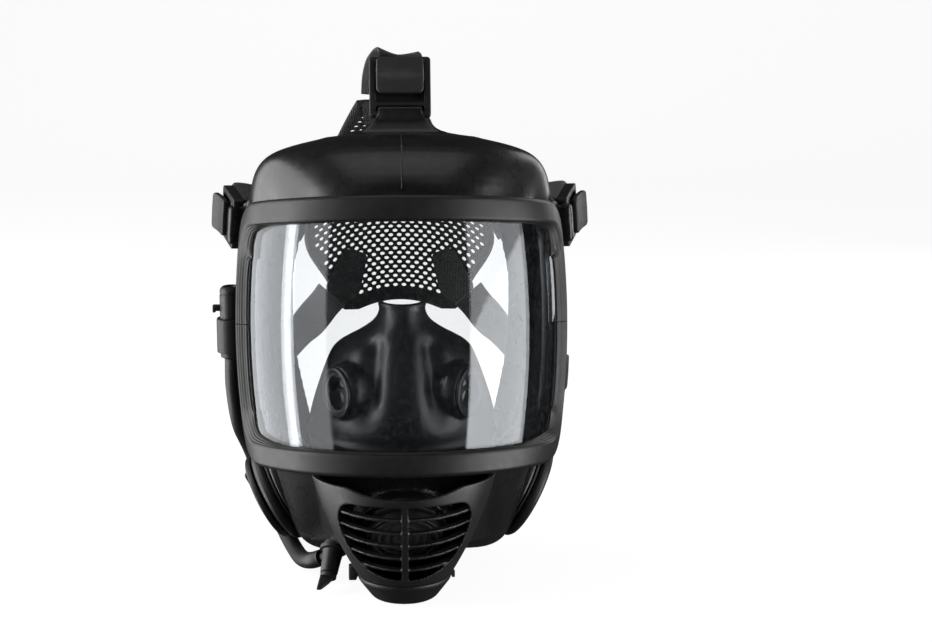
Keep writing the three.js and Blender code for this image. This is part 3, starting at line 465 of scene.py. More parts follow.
# ---------- materials ----------
class Finish:
    """A node material with short ways to add and join nodes."""

    def __init__(self, name):
        self.material = bpy.data.materials.new(name)
        self.material.use_nodes = True
        self.tree = self.material.node_tree
        self.surface = self.tree.nodes["Principled BSDF"]
        self.output = self.tree.nodes["Material Output"]
        self.place = self.node("ShaderNodeTexCoord").outputs["Object"]

    def node(self, kind, settings=None, **inputs):
        made = self.tree.nodes.new(kind)
        for key, value in (settings or {}).items():
            setattr(made, key, value)
        for key, value in inputs.items():
            self.feed(made.inputs[key.replace("_", " ")], value)
        return made

    def feed(self, socket, value):
        if isinstance(value, bpy.types.NodeSocket):
            self.tree.links.new(value, socket)
        else:
            socket.default_value = value

    def set(self, **inputs):
        for key, value in inputs.items():
            self.feed(self.surface.inputs[key.replace("_", " ")], value)

    def noise(self, size_mm, detail=2.0, rough=0.5):
        """Noise whose features are about size_mm across, from 0 to 1."""
        return self.node("ShaderNodeTexNoise", Vector=self.place, Scale=1 / (size_mm * MM),
                         Detail=detail, Roughness=rough).outputs["Fac"]

    def between(self, factor, low, high, start=0.0, end=1.0):
        """Value from low to high as factor goes from start to end."""
        ramp = self.node("ShaderNodeMapRange", {"clamp": True}, Value=factor)
        for key, value in (("From Min", start), ("From Max", end), ("To Min", low), ("To Max", high)):
            ramp.inputs[key].default_value = value
        return ramp.outputs["Result"]

    def math(self, operation, a, b=0.0):
        made = self.node("ShaderNodeMath", {"operation": operation})
        self.feed(made.inputs[0], a)
        self.feed(made.inputs[1], b)
        return made.outputs[0]

    def blend(self, factor, low, high):
        made = self.node("ShaderNodeMix", {"data_type": "RGBA"})
        self.feed(made.inputs["Factor"], factor)
        self.feed(made.inputs[6], low)
        self.feed(made.inputs[7], high)
        return made.outputs[2]

    def bump(self, height, depth_mm, strength=1.0, below=None):
        made = self.node("ShaderNodeBump", Height=height, Strength=strength, Distance=depth_mm * MM)
        if below is not None:
            self.tree.links.new(below, made.inputs["Normal"])
        return made.outputs["Normal"]


def grey(value, warm=0.0):
    return value * (1 + warm), value, value * (1 - warm), 1


def moulded(name, tone, roughness, grain_mm, grain_depth, wear=0.5, warm=0.0, spread=0.06, coat=0.0):
    """Moulded rubber or plastic: fine grain, uneven gloss, lighter worn edges and faint marks."""
    f = Finish(name)
    patches = f.noise(22, 3.0)
    smears = f.noise(5, 4.0, 0.65)
    edges = f.between(f.node("ShaderNodeNewGeometry").outputs["Pointiness"], 0, 1, 0.52, 0.62)
    scuff = f.math("MULTIPLY", edges, f.between(smears, 0.2, 1, 0.35, 0.65))
    base = f.blend(patches, grey(tone * 0.8, warm), grey(tone * 1.25, warm))
    f.set(Base_Color=f.blend(f.math("MULTIPLY", scuff, wear), base, grey(tone * 3.2, warm)))
    gloss = f.between(smears, roughness - spread, roughness + spread, 0.3, 0.7)
    f.set(Roughness=f.math("ADD", gloss, f.math("MULTIPLY", scuff, 0.08)))
    waves = f.bump(f.noise(9, 1.0), 0.05, 0.6)
    f.set(Normal=f.bump(f.noise(grain_mm, 3.0), grain_depth, 0.8, waves))
    f.set(Coat_Weight=coat, Coat_Roughness=0.22)
    return f.material


def woven(name, tone, rib_mm, yarn_mm):
    """Narrow webbing from the strap's own lengthwise (v) and crosswise (u) millimetres."""
    f = Finish(name)
    f.set(Roughness=0.82, Sheen_Weight=0.35, Sheen_Roughness=0.5)
    lanes = f.node("ShaderNodeSeparateXYZ", Vector=f.node("ShaderNodeUVMap", {"uv_map": "cloth"}).outputs["UV"])
    across = f.math("MULTIPLY", lanes.outputs["X"], math.pi / yarn_mm)
    lengthwise = f.math("MULTIPLY", lanes.outputs["Y"], math.pi / rib_mm)
    yarn = f.math("ABSOLUTE", f.math("SINE", across))
    lane = f.math("GREATER_THAN", f.math("SINE", across), 0.0)
    rib = f.math("ABSOLUTE", f.math("SINE", f.math("ADD", lengthwise, f.math("MULTIPLY", lane, math.pi / 2))))
    height = f.math("MULTIPLY", f.math("POWER", yarn, 0.6), f.math("POWER", rib, 0.5))
    fuzz = f.noise(0.35, 3.0)
    # colour follows the weave's relief: painted shade between the yarns and lighter painted crests, mixed with random
    # fuzz tone
    hollow_shade_and_fuzz = f.between(f.math("ADD", height, f.math("MULTIPLY", fuzz, 0.4)), 0, 1, 0.2, 1.3)
    f.set(Base_Color=f.blend(hollow_shade_and_fuzz, grey(tone * 0.35), grey(tone * 1.7)))
    f.set(Normal=f.bump(height, 0.35, 1.0, f.bump(fuzz, 0.08, 0.6)))
    return f.material


def knitted(name, tone):
    """Punched knit of the pad: short vertical ribs of yarn with a little fuzz."""
    f = Finish(name)
    f.set(Roughness=0.88, Sheen_Weight=0.4, Sheen_Roughness=0.45)
    place = f.node("ShaderNodeSeparateXYZ", Vector=f.place)
    ribs = f.math("SINE", f.math("MULTIPLY", place.outputs["X"], 2 * math.pi / (1.1 * MM)))
    steps = f.math("SINE", f.math("MULTIPLY", place.outputs["Z"], 2 * math.pi / (0.8 * MM)))
    loops = f.math("MULTIPLY", f.between(ribs, 0, 1, -1, 1), f.between(steps, 0.4, 1, -1, 1))
    fuzz = f.noise(0.3, 3.0)
    # colour darkens in the hollows of the knit loops as painted shade, broken into random patches by the noise
    f.set(Base_Color=f.blend(f.math("MULTIPLY", loops, f.noise(14)), grey(tone * 0.5), grey(tone * 2)))
    f.set(Normal=f.bump(loops, 0.3, 0.9, f.bump(fuzz, 0.06, 0.5)))
    return f.material


LENS_INDEX = 1.65


def clear_lens():
    """Thin clear polycarbonate: see-through, with a sharp Fresnel reflection and faint dust."""
    f = Finish("clear_lens")
    dust = f.between(f.noise(3, 5.0, 0.7), 0.0, 0.035, 0.5, 0.8)
    smear = f.between(f.noise(18, 3.0), 0.015, 0.06, 0.35, 0.65)
    edge = f.node("ShaderNodeLayerWeight", Blend=0.28).outputs["Facing"]
    clear = f.node("ShaderNodeBsdfTransparent", Color=f.blend(edge, (0.97, 0.98, 0.985, 1), (0.62, 0.66, 0.71, 1)))
    mirror = f.node("ShaderNodeBsdfGlossy", Color=(0.95, 0.97, 1, 1), Roughness=smear)
    haze = f.node("ShaderNodeBsdfDiffuse", Color=(0.75, 0.78, 0.82, 1))
    # the Fresnel node turns its index round on back faces, so it is handed the reciprocal there
    behind = f.node("ShaderNodeNewGeometry").outputs["Backfacing"]
    index = f.math("POWER", LENS_INDEX, f.math("SUBTRACT", 1.0, f.math("MULTIPLY", behind, 2.0)))
    shine = f.node("ShaderNodeFresnel", IOR=index)
    film = f.node("ShaderNodeMixShader", Fac=f.math("MULTIPLY", shine.outputs["Fac"], 0.9))
    f.tree.links.new(clear.outputs[0], film.inputs[1])
    f.tree.links.new(mirror.outputs[0], film.inputs[2])
    full = f.node("ShaderNodeMixShader", Fac=dust)
    f.tree.links.new(film.outputs[0], full.inputs[1])
    f.tree.links.new(haze.outputs[0], full.inputs[2])
    f.tree.links.new(full.outputs[0], f.output.inputs["Surface"])
    return f.material


def steel_finish():
    f = Finish("pin_steel")
    lines = f.node("ShaderNodeMapping", Vector=f.place)
    lines.inputs["Scale"].default_value = (30, 30, 900)
    streaks = f.node("ShaderNodeTexNoise", Vector=lines.outputs["Vector"], Scale=12.0, Detail=3.0).outputs["Fac"]
    f.set(Base_Color=f.blend(f.noise(4), (0.32, 0.33, 0.35, 1), (0.56, 0.57, 0.6, 1)), Metallic=1.0)
    f.set(Roughness=f.between(streaks, 0.22, 0.42), Normal=f.bump(streaks, 0.02, 0.5))
    return f.material


FACE_RUBBER = moulded("facepiece_rubber", 0.010, 0.3, 0.4, 0.004, wear=0.25, spread=0.05, coat=0.15)
SOFT_RUBBER = moulded("soft_rubber", 0.011, 0.46, 0.4, 0.02, wear=0.2)
CUP_RUBBER = moulded("nose_cup_rubber", 0.012, 0.38, 0.4, 0.004, wear=0.3)
PLASTIC = moulded("moulded_plastic", 0.014, 0.42, 0.35, 0.035, wear=0.45, warm=0.02)
SATIN = moulded("satin_plastic", 0.022, 0.5, 0.3, 0.03, wear=0.55, warm=0.02)
DARK = moulded("inner_plastic", 0.012, 0.5, 0.4, 0.02, wear=0.3)
WEBBING = woven("strap_webbing", 0.016, 1.3, 0.9)
KNIT = knitted("pad_knit", 0.014)
LENS = clear_lens()
STEEL = steel_finish()
FILM = moulded("diaphragm_film", 0.05, 0.3, 0.8, 0.01, wear=0.6)
SILICONE = moulded("valve_silicone", 0.7, 0.35, 0.6, 0.01, wear=0.2)


# ---------- visor, bezel and lip ----------
def on_visor(h, v, n):
    """Point at arc length h round the face, height v above the rim's middle, n mm proud."""
    angle = h / ARC
    arch = np.where(v > 0, ARCH_TOP, ARCH_BOTTOM) * v / RIM_HALF_HEIGHT
    w = RIM_MIDDLE + v + arch * np.maximum(0, np.cos(angle))
    a = VISOR_HALF_WIDTH - VISOR_NARROWING * (w - VISOR_WIDEST_AT) ** 2 + n
    b = VISOR_DEPTH - VISOR_DEPTH_LOSS * (w - 60) + n
    forward = VISOR_FORWARD + b * np.cos(angle)
    s, c = math.sin(VISOR_LEAN), math.cos(VISOR_LEAN)
    return np.stack([a * np.sin(angle), w * s - forward * c, w * c + forward * s], -1) + VISOR_BASE


def rim_flat(side, up, t, q):
    """Flat coordinates q mm outside the bezel's inner edge; t is 0 at the split, 1 at the centre."""
    turn = np.clip((t - CORNER_FROM) / (CORNER_TO - CORNER_FROM), 0, 1) * math.pi / 2
    radius = RIM_CORNER - RIM_BAND + q
    along_top = np.maximum(0, (t - CORNER_TO) / (1 - CORNER_TO))
    along_side = np.minimum(1, t / CORNER_FROM)
    h = CORE_LENGTH * (1 - along_top) + radius * np.cos(turn)
    start, end = RIM_SPLIT + up * GAP / 2, up * CORE_HEIGHT
    return side * h, start + (end - start) * along_side + up * radius * np.sin(turn)


def on_rim(side, up, t, q, n):
    h, v = rim_flat(side, up, t, q)
    return on_visor(h, v, n)


def rim_steps(straight=12, corner=14, top=18):
    return np.unique(np.concatenate([np.linspace(0, CORNER_FROM, straight),
                                     np.linspace(CORNER_FROM, CORNER_TO, corner),
                                     np.linspace(CORNER_TO, 1, top)]))


def half_outline(up):
    """Places (side, up, t) from the right split over the middle to the left split."""
    t = rim_steps()
    return [(1, up, x) for x in t] + [(-1, up, x) for x in t[-2::-1]]


def whole_outline():
    t = rim_steps()
    lower = [(-1, -1, x) for x in t[1:]] + [(1, -1, x) for x in t[-2:0:-1]]
    return half_outline(1) + lower


def build_visor():
    tuck = 8.3
    t = np.array([x for x in rim_steps() if x >= CORNER_FROM])
    places = [(1, x) for x in t] + [(-1, x) for x in t[-2::-1]]
    sides, steps = np.array(places).T

    def at(u, v, face):
        i = np.round(u * (len(places) - 1)).astype(int)
        side, t = sides[i], steps[i]
        h, top = rim_flat(side, 1, t, tuck)
        foot = rim_flat(side, -1, t, tuck)[1]
        return on_visor(h, foot + (top - foot) * v, -face * VISOR_THICKNESS * np.ones_like(u))

    keep(plate("visor_lens", at, len(places) - 1, 24, LENS), "clear_lens", "visor")


def rim_loft(name, section, up, material):
    sections = [[on_rim(side, up, t, q, n) for q, n in section] for side, up, t in half_outline(up)]
    return loft(name, sections, material, sharp=50)


LUG_X, LUG_Y, LUG_HALF, LUG_HEIGHT, SCREW_RADIUS = 83.2, -16.5, 3.0, 5.2, 1.25
SPLIT_PLACE = shifted(*VISOR_BASE) @ turned_about("X", -math.degrees(VISOR_LEAN)) \
    @ shifted(0, 0, RIM_MIDDLE + RIM_SPLIT)


def build_bezels():
    section = [(0, 0.6), (0, 3), (1.6, 4.2), (10.8, 4.2), (12.5, 2.8), (12.5, -7), (10.7, -7), (10.7, 0.6)]
    section = softened(section, 0.9)
    for up, half in ((1, "upper"), (-1, "lower")):
        bezel = rim_loft("bezel_" + half, section, up, PLASTIC)
        low, high = (GAP / 2, LUG_HEIGHT) if up > 0 else (-LUG_HEIGHT, -GAP / 2)
        for side, _ in SIDES:
            x = side * LUG_X
            lug = box("lug", (x - LUG_HALF, LUG_Y - LUG_HALF, low), (x + LUG_HALF, LUG_Y + LUG_HALF, high),
                      PLASTIC, SPLIT_PLACE)
            hole = disc("hole", SCREW_RADIUS + GAP, -10, 10, PLASTIC, SPLIT_PLACE @ shifted(x, LUG_Y), 32)
            carved(fused(bezel, lug), hole)
        keep(bezel, "moulded_plastic", "bezel_" + half)
    for side, label in SIDES:
        place = SPLIT_PLACE @ shifted(side * LUG_X, LUG_Y)
        top = LUG_HEIGHT + GAP
        screw = turned("bezel_screw_" + label, [
            (0, -top - 0.5), (SCREW_RADIUS, -top - 0.1), (SCREW_RADIUS, top), (2.1, top), (2.1, top + 1.1),
            (1.5, top + 1.6), (0, top + 1.6)], STEEL, place, 40, 0.2)
        slot = box("slot", (-3, -0.3, top + 0.9), (3, 0.3, top + 3), STEEL, place)
        keep(carved(screw, slot), "pin_steel", "bezel_screw_" + label)


def build_lip():
    """Ribbed rubber lip between the bezel and the lens: wide at the sides, gone at the middle."""
    width, height, ribs, rib = 9.5, 3.6, 4, 0.45
    for up, name, fade in ((1, "upper", 0.7), (-1, "lower", 0.78)):
        sections = []
        for side, _, t in half_outline(up):
            share = np.clip((fade - t) / (fade - 0.36), 0, 1)
            share = share * share * (3 - 2 * share)
            corner = (9.0 if up > 0 else 5.0) * math.exp(-((t - 0.47) / 0.1) ** 2)
            reach = 0.9 + (width - 0.9) * share + corner
            x = np.linspace(0, 1, 33)
            crest = height * (1 - x) ** 0.8 + 0.35
            wave = rib * np.sin(x * ribs * 2 * math.pi) * np.minimum(1, 4 * (1 - x)) * share
            top = [on_rim(side, up, t, 0.8 - reach * a, b + c) for a, b, c in zip(x, crest, wave)]
            foot = [on_rim(side, up, t, 0.8 - reach, 0.12), on_rim(side, up, t, 0.8, 0.12)]
            sections.append(top + foot)
        keep(loft("visor_lip_" + name, sections, SOFT_RUBBER, sharp=60), "facepiece_rubber")


# ---------- facepiece ----------
def mirrored_loop(keys):
    right = [mirrored(k, 1) for k in keys]
    return np.array(right + [mirrored(k, -1) for k in keys[-2:0:-1]])


def on_loop(loop, places):
    turn = np.array([(4 * (1 - t) if up > 0 else 4 + 4 * t) for _, up, t in places])
    sides = np.array([side for side, _, _ in places])
    return spline_at(loop, np.where(sides > 0, turn, (16 - turn) % 16), True)


def inward(points, distance):
    towards = FACE_CENTRE - points
    return points + distance * towards / np.linalg.norm(towards, axis=-1)[..., None]


def bezier(start, control, end, t):
    return (1 - t) ** 2 * start + 2 * t * (1 - t) * control + t ** 2 * end


def facepiece_skin():
    places = whole_outline()
    side, up, t = (np.array(column) for column in zip(*places))
    bulge, rear = on_loop(mirrored_loop(BULGE), places), on_loop(mirrored_loop(REAR_EDGE), places)

    def rim(q, n):
        h, v = rim_flat(side, up, t, q)
        return on_visor(h, v, n * np.ones_like(h))

    start, inner_start = rim(12.6, -8.2), rim(8, -10)
    inner_rear = inward(rear, WALL) - (0, WALL, 0)
    tip = inward(rear, SEAL_WIDTH)
    columns = [rim(0, -2.6), rim(8.9, -2.6), rim(8.9, 0.25), rim(10.3, 0.25), rim(10.3, -7.4)]
    columns += [bezier(start, bulge, rear, x) for x in np.linspace(0, 1, 18)]
    columns += [bezier(rear, inward(rear, 9) + (0, 4.5, 0), tip, x) for x in np.linspace(0.15, 1, 7)]
    columns += [bezier(tip - (0, 2.2, 0), inward(rear, 10) + (0, 1.0, 0), inner_rear, x)
                for x in np.linspace(0, 0.85, 6)]
    columns += [bezier(inner_start, inward(bulge, WALL + 6), inner_rear, x) for x in np.linspace(1, 0, 16)]
    columns += [rim(3, -7), rim(0.3, -4.2)]
    return loft("skin", np.stack(columns, 1), FACE_RUBBER, closed=True)


def tab_parts(buckle):
    """Neck from the facepiece and the loop round the buckle's first bar."""
    place, wide = buckle["place"], buckle["width"] / 2 - BUCKLE_RAIL - 0.5
    back, front, thick = 5.6, 5.4, 2.1
    low, high = -BUCKLE_HALF - 2.4, -BUCKLE_HALF + 5.5
    section = rounded_rectangle(low, high, -back, front, 1.8)
    hole = rounded_rectangle(low + thick, high - thick, -back + thick, front - thick, 0.8)
    across = [np.array([[x, y, z] for y, z in section]) for x in (-wide, wide)]
    loop = loft("loop", across, FACE_RUBBER, place=place)
    shelf = box("shelf", (-wide - 3.2, low, -back), (wide + 3.2, high + 3, -back + 2.0), FACE_RUBBER, place)
    core = loft("core", [np.array([[x, y, z] for y, z in hole]) for x in (-wide - 2, wide + 2)],
                FACE_RUBBER, place=place)
    root = place.copy()
    root[:3, 3] = buckle["tab_root"]
    near = moved([(0, low + 1.6, 0)], place)[0]
    far = root[:3, 3]
    sections = []
    for x in np.linspace(0, 1, 9):
        flare = buckle["tab_width"] / 2 * (1 + 0.9 * (1 - x) ** 3)
        half = flare * (1 - x) ** 1.6 + (wide + 4.0) * (1 - (1 - x) ** 1.6)
        depth = 2.0 + 2.4 * x
        centre = far * (1 - x) + near * x
        flat = rounded_rectangle(-half, half, -depth, depth, min(1.9, depth * 0.8), 4)
        turn = place[:3, :3]
        sections.append(centre + flat[:, :1] * turn[:, 0] + flat[:, 1:] * turn[:, 2])
    return [carved(loop, core), shelf, loft("neck", sections, FACE_RUBBER)]


def cover_width(z):
    return 24.8 + 0.6 * (z - COVER_BOTTOM) - 0.0032 * (z - COVER_BOTTOM) ** 2


def cover_depth(z):
    return 26 + 0.55 * (z - COVER_BOTTOM) - 0.0055 * (z - COVER_BOTTOM) ** 2


def cover_collar(side):
    """Cheek wall that runs back from the cover's side edge into the facepiece."""
    def at(u, v, face):
        z = COVER_BOTTOM + 3 + (COVER_TOP - 2 - COVER_BOTTOM - 3) * v
        back = GAP + 0.3 + (17 + 1.07 * (46 - z) - GAP - 0.3) * u
        return np.stack([side * (cover_width(z) - 0.3 - face * 2.6), back, z], -1)
    return plate("collar", at, 8, 12, FACE_RUBBER)


def cheek_flank(side):
    """Hollow-curved wall from the cover's side edge to the cheek, turned under at its lower edge."""
    def at(u, v, face):
        under = np.clip(1 - v / 0.3, 0, 1)
        climb = np.clip((v - 0.3) / 0.7, 0, 1)
        z_edge, z_cheek = 26.0 + 34.0 * climb, 17.0 + 40.0 * climb
        edge = np.stack([cover_width(z_edge) - 0.2, np.full_like(u, 0.5), z_edge], -1)
        cheek = np.stack([50.0 + 6.0 * climb, 36.0 - 22.0 * climb, z_cheek], -1)
        bend = (edge + cheek) / 2 + np.stack([np.full_like(u, -2.5), np.full_like(u, 3.0), 0 * u], -1)
        points = bezier(edge, bend, cheek, u[:, None])
        points[:, 1] += under * (38 - points[:, 1])
        points[:, 2] += under * 1.5
        points = inward(points, face * 4.0)
        return points * (side, 1, 1)
    return plate("flank", at, 20, 24, FACE_RUBBER)


def build_facepiece():
    socket = fused(hoop("socket", SOCKET_SEAT, SOCKET_OUTER, -10, 6, FACE_RUBBER, MODULE_PLACE),
                   hoop("lip", SOCKET_BORE, SOCKET_SEAT + 1, -4, 2.5, FACE_RUBBER, MODULE_PLACE))
    parts = [facepiece_skin(), socket]
    for buckle in BUCKLES:
        parts += tab_parts(buckle)
    for side, _ in SIDES:
        parts.append(cover_collar(side))
        parts.append(hoop("port_seat", PORT_TUBE - 1, 28.4, -9, 0.3, FACE_RUBBER, port_place(side)))
        parts.append(cheek_flank(side))
    parts.append(box("chin_floor", (-24.8, 0.65, COVER_BOTTOM + GAP), (24.8, 40, COVER_BOTTOM + 3.3), FACE_RUBBER))
    skin = melted("facepiece_skin", parts, 1.15, 6, FACE_RUBBER)
    dent(skin)
    carved(skin, disc("bore", SOCKET_SEAT, 2.5, 22, FACE_RUBBER, MODULE_PLACE),
           disc("bore", SOCKET_SEAT, -40, -4, FACE_RUBBER, MODULE_PLACE),
           disc("bore", SOCKET_BORE, -5, 5, FACE_RUBBER, MODULE_PLACE))
    for side, _ in SIDES:
        carved(skin, disc("bore", PORT_TUBE + GAP, -16, 20, FACE_RUBBER, port_place(side)))
    carved(skin, disc("stem", 3.35, -30, 4, FACE_RUBBER, FITTING, 32))
    keep(skin, "facepiece_rubber", "facepiece")
    for side, label in SIDES:
        sleeve = turned("port_sleeve_" + label, [
            (PORT_TUBE + GAP, 0.5), (28.4, 0.5), (26.4, 1.9), (26.2, 2.9),
            (27.6, 3.6), (27.8, 6.6), (27.2, 7.5), (25.5, 7.8), (25.5, 9.4), (PORT_TUBE + GAP, 9.4)],
            FACE_RUBBER, port_place(side), 120, 0.7)
        keep(sleeve, "facepiece_rubber", "port_sleeve_" + label)


def dent(skin):
    """Shallow hollow in the middle of the forehead, just above the bezel."""
    place, half_width, half_height, depth = np.array([0, -14.0, 208.0]), 16.0, 5.5, 2.4
    mesh = skin.data
    points = np.empty(len(mesh.vertices) * 3, np.float32)
    mesh.vertices.foreach_get("co", points)
    points = points.reshape(-1, 3) / MM
    away = ((points[:, 0] / half_width) ** 2 + ((points[:, 2] - place[2]) / half_height) ** 2)
    sink = depth * np.exp(-away) * (points[:, 1] < 20)
    points += sink[:, None] * unit((0, 0.75, -0.65))
    mesh.vertices.foreach_set("co", (points * MM).astype(np.float32).ravel())
    mesh.update()


# ---------- front module ----------
def on_cover(angle, z, inset):
    x = (cover_width(z) - inset) * np.sin(angle)
    return np.stack([x, -(cover_depth(z) - inset) * np.cos(angle), z * np.ones_like(x)], -1)


def cover_opening():
    """Outline (x, z) of the grille opening: a rounded top over a long tapering chin."""
    half = [((26, 59.3), (33.8, 59.3), (33.8, 51)), ((33.8, 51), (33.8, 42), (27.5, 31)),
            ((27.5, 31), (19, 16.7), (0, 16.7))]
    t = np.linspace(0, 1, 12)[:, None]
    right = np.concatenate([bezier(*np.array(part, float), t)[:-1] for part in half] + [[(0, 16.7)]])
    return np.concatenate([right, right[-2::-1] * (-1, 1)])


def build_cover():
    def shell(u, v, face):
        angle = -math.pi / 2 + math.pi * u
        top = COVER_TOP + COVER_WING * np.clip(np.abs(np.sin(angle)) / 0.62, 0, 1) ** 2.5
        z = COVER_BOTTOM + (top - COVER_BOTTOM) * v
        return on_cover(angle, z, face * COVER_WALL)

    cover = plate("grille_cover", shell, 72, 30, PLASTIC)
    outline = cover_opening()
    prism = [np.stack([outline[:, 0], np.full(len(outline), y), outline[:, 1]], -1) for y in (-70.0, -2.0)]
    carved(cover, loft("window", prism, PLASTIC))
    parts = [cover]
    angles = np.linspace(-1.3, 1.3, 49)
    for k in range(BARS):
        height = FIRST_BAR + k * BAR_PITCH + BAR_RISE * (1 - np.cos(angles))
        corners = [(0.9, -1), (5.6, -0.75), (5.6, 0.75), (0.9, 1)]
        rows = [on_cover(angles, height + up * BAR_THICKNESS / 2, inset) for inset, up in corners]
        parts.append(loft("bar", np.stack(rows, 1), PLASTIC))
    z = np.linspace(COVER_BOTTOM + 1, COVER_TOP - 1, 25)
    half = UPRIGHT_WIDTH / 2
    depth = cover_depth(z)
    rows = [np.stack([np.full_like(z, x), -(depth - inset), z], -1)
            for x, inset in ((-half, 0.4), (half, 0.4), (half, 5.6), (-half, 5.6))]
    parts.append(loft("upright", np.stack(rows, 1), PLASTIC))
    keep(melted("grille_cover", parts, 0.55, 2, PLASTIC), "moulded_plastic", "grille_cover")


def build_outlet():
    foot, top, height, wall = OUTLET_FOOT, OUTLET_TOP, OUTLET_HEIGHT, OUTLET_WALL
    profile = [(0, 0), (foot, 0), (foot + 1.6, 1.2), (foot + 5.8, 6.8), (top, height - 2), (top, height),
               (top - wall, height), (top - wall, height - 2), (foot + 3.4, 6.8), (foot - 0.6, 2.4), (0, 2.4)]
    keep(turned("chin_outlet", profile, SOFT_RUBBER, soft=1.2), "soft_rubber", "chin_outlet")
    inner, outer, low, high = top + GAP, top + 2, 8.5, 12.2
    a = np.linspace(math.radians(3), math.radians(177), 60)
    section = softened([(inner, low), (outer, low), (outer, high), (inner, high)], 0.5)
    band = loft("outlet_clamp", [[(r * math.cos(x), r * math.sin(x), z) for r, z in section] for x in a], SATIN)
    lug = box("lug", (-29.4, 1, 7.5), (-top - 0.6, 6, 15.5), SATIN, soft=0.7)
    keep(fused(band, lug), "satin_plastic", "outlet_clamp")


def cross(name, reach, half_width, low, high, material, place, hub):
    """Two crossed spokes and a hub, for the seat of a valve disc."""
    parts = [box(name, (-reach, -half_width, low), (reach, half_width, high), material, place, 0.3),
             box(name, (-half_width, -reach, low), (half_width, reach, high), material, place, 0.3)]
    return parts + [disc(name, hub, low, high, material, place, 40, 0.3)]


def build_module():
    place = MODULE_PLACE
    edge = SOCKET_SEAT - GAP
    body = turned("module_body", [
        (17, -7), (edge, -7), (edge, -4 - GAP), (20, -4 - GAP), (20, 12), (18.4, 12), (18.4, 9.6), (17, 9.6)],
        DARK, place, soft=0.5)
    body = fused(body, *cross("spoke", 17.5, 1.2, -6.4, -4.9, DARK, place, 4.5))
    keep(body, "moulded_plastic", "module_body")
    nut = hoop("module_ring_nut", 20.4, 23.4, 2.85, 7.5, DARK, place, soft=0.5)
    notches = [box("notch", (22.6, -1.2, 4.5), (25, 1.2, 9), DARK, place @ turned_about("Z", 45 * k))
               for k in range(8)]
    keep(carved(nut, *notches), "moulded_plastic", "module_ring_nut")
    waves = [(r, 10 + 0.35 * (1 - math.cos(2 * math.pi * (r - 4) / 4)) * (4 < r < 16)) for r in np.linspace(0, 18, 55)]
    film = waves + [(r, z + 0.45) for r, z in waves[::-1]]
    keep(turned("speech_diaphragm", film, FILM, place), "diaphragm_film", "speech_diaphragm")
    keep(hoop("diaphragm_ring", 15.5, 18, 11.25, 12.6, SATIN, place, soft=0.3), "satin_plastic", "diaphragm_ring")
    flap = [(0, -4.5), (15, -4.5), (15, -3.9), (9, -3.7), (3, -3.2), (0, -3.2)]
    keep(turned("exhalation_valve_disc", flap, SOFT_RUBBER, place, soft=0.3), "soft_rubber",
         "exhalation_valve_disc", body="exhalation_flap")


# ---------- ports ----------
def threaded_port(name, material, place):
    """Port body whose bore carries the round thread: a helix worked into the turned wall."""
    segments = 144
    outside = softened([
        (PORT_BORE, -6.99), (PORT_TUBE, -7), (PORT_TUBE, 9.4 + GAP), (PORT_COLLAR - 1.4, 9.4 + GAP),
        (PORT_COLLAR, 11.2), (PORT_COLLAR, PORT_LENGTH - 1.8), (PORT_COLLAR - 1.6, PORT_LENGTH),
        (PORT_BORE, PORT_LENGTH)], 0.7, closed=False)
    bore = np.linspace(PORT_LENGTH - 0.4, -6.6, 64)
    angles = np.linspace(0, 2 * math.pi, segments, endpoint=False)
    sections = []
    for a in angles:
        phase = 2 * math.pi * (bore / THREAD_PITCH) - a
        fade = np.clip((PORT_LENGTH - 1 - bore) / 2, 0, 1) * np.clip((bore + 3) / 2, 0, 1)
        radius = PORT_BORE + THREAD_DEPTH / 2 * (1 + np.cos(phase)) * fade
        flat = np.concatenate([outside, np.stack([radius, bore], -1)])
        sections.append(np.stack([flat[:, 0] * math.cos(a), flat[:, 0] * math.sin(a), flat[:, 1]], -1))
    body = loft(name, sections, material, closed=True, place=place)
    rim = hoop("rim", 16, PORT_BORE + 1, -7, -5, material, place, 96, 0.3)
    return fused(body, rim, *cross("spoke", 16.5, 1.1, -7, -5, material, place, 3.5))


def build_ports():
    for side, label in SIDES:
        place = port_place(side)
        keep(threaded_port("port_body_" + label, PLASTIC, place), "moulded_plastic", "port_body_" + label)
        ring = hoop("port_clamp_ring_" + label, 25.8, 27.2, 8.1, 9.3, SATIN, place, 120, 0.25)
        keep(ring, "satin_plastic", "port_clamp_ring_" + label)
        flap = disc("port_valve_disc_" + label, 18, -8.2, -7.4, SOFT_RUBBER, place, 96, 0.3)
        keep(flap, "soft_rubber", "port_valve_disc_" + label, body="port_flap_" + label)


def build_plug():
    place = port_place(-1)
    seal = PORT_LENGTH + 0.3
    keep(hoop("plug_seal", PORT_BORE + 0.6, PORT_BORE + 3, seal, seal + 1.2, SOFT_RUBBER, place, 96, 0.4),
         "soft_rubber", "plug_seal", body="plug_ring")
    reach = PORT_BORE - GAP
    cap = turned("port_plug", [
        (0, 6), (reach, 6), (reach, seal + 1.5), (24.6, seal + 1.5), (24.6, seal + 4.4), (23.4, seal + 5.2),
        (19, seal + 5.2), (17.5, seal + 4.2), (0, seal + 4.2)], PLASTIC, place, 120, 0.6)
    grip = box("grip", (-18, -2.4, seal + 3.5), (18, 2.4, seal + 9), PLASTIC, place, 1.2)
    keep(fused(cap, grip), "moulded_plastic", "port_plug", body="plug")


# ---------- buckles ----------
def build_buckles():
    for buckle in BUCKLES:
        build_frame(buckle)
        build_lever(buckle)


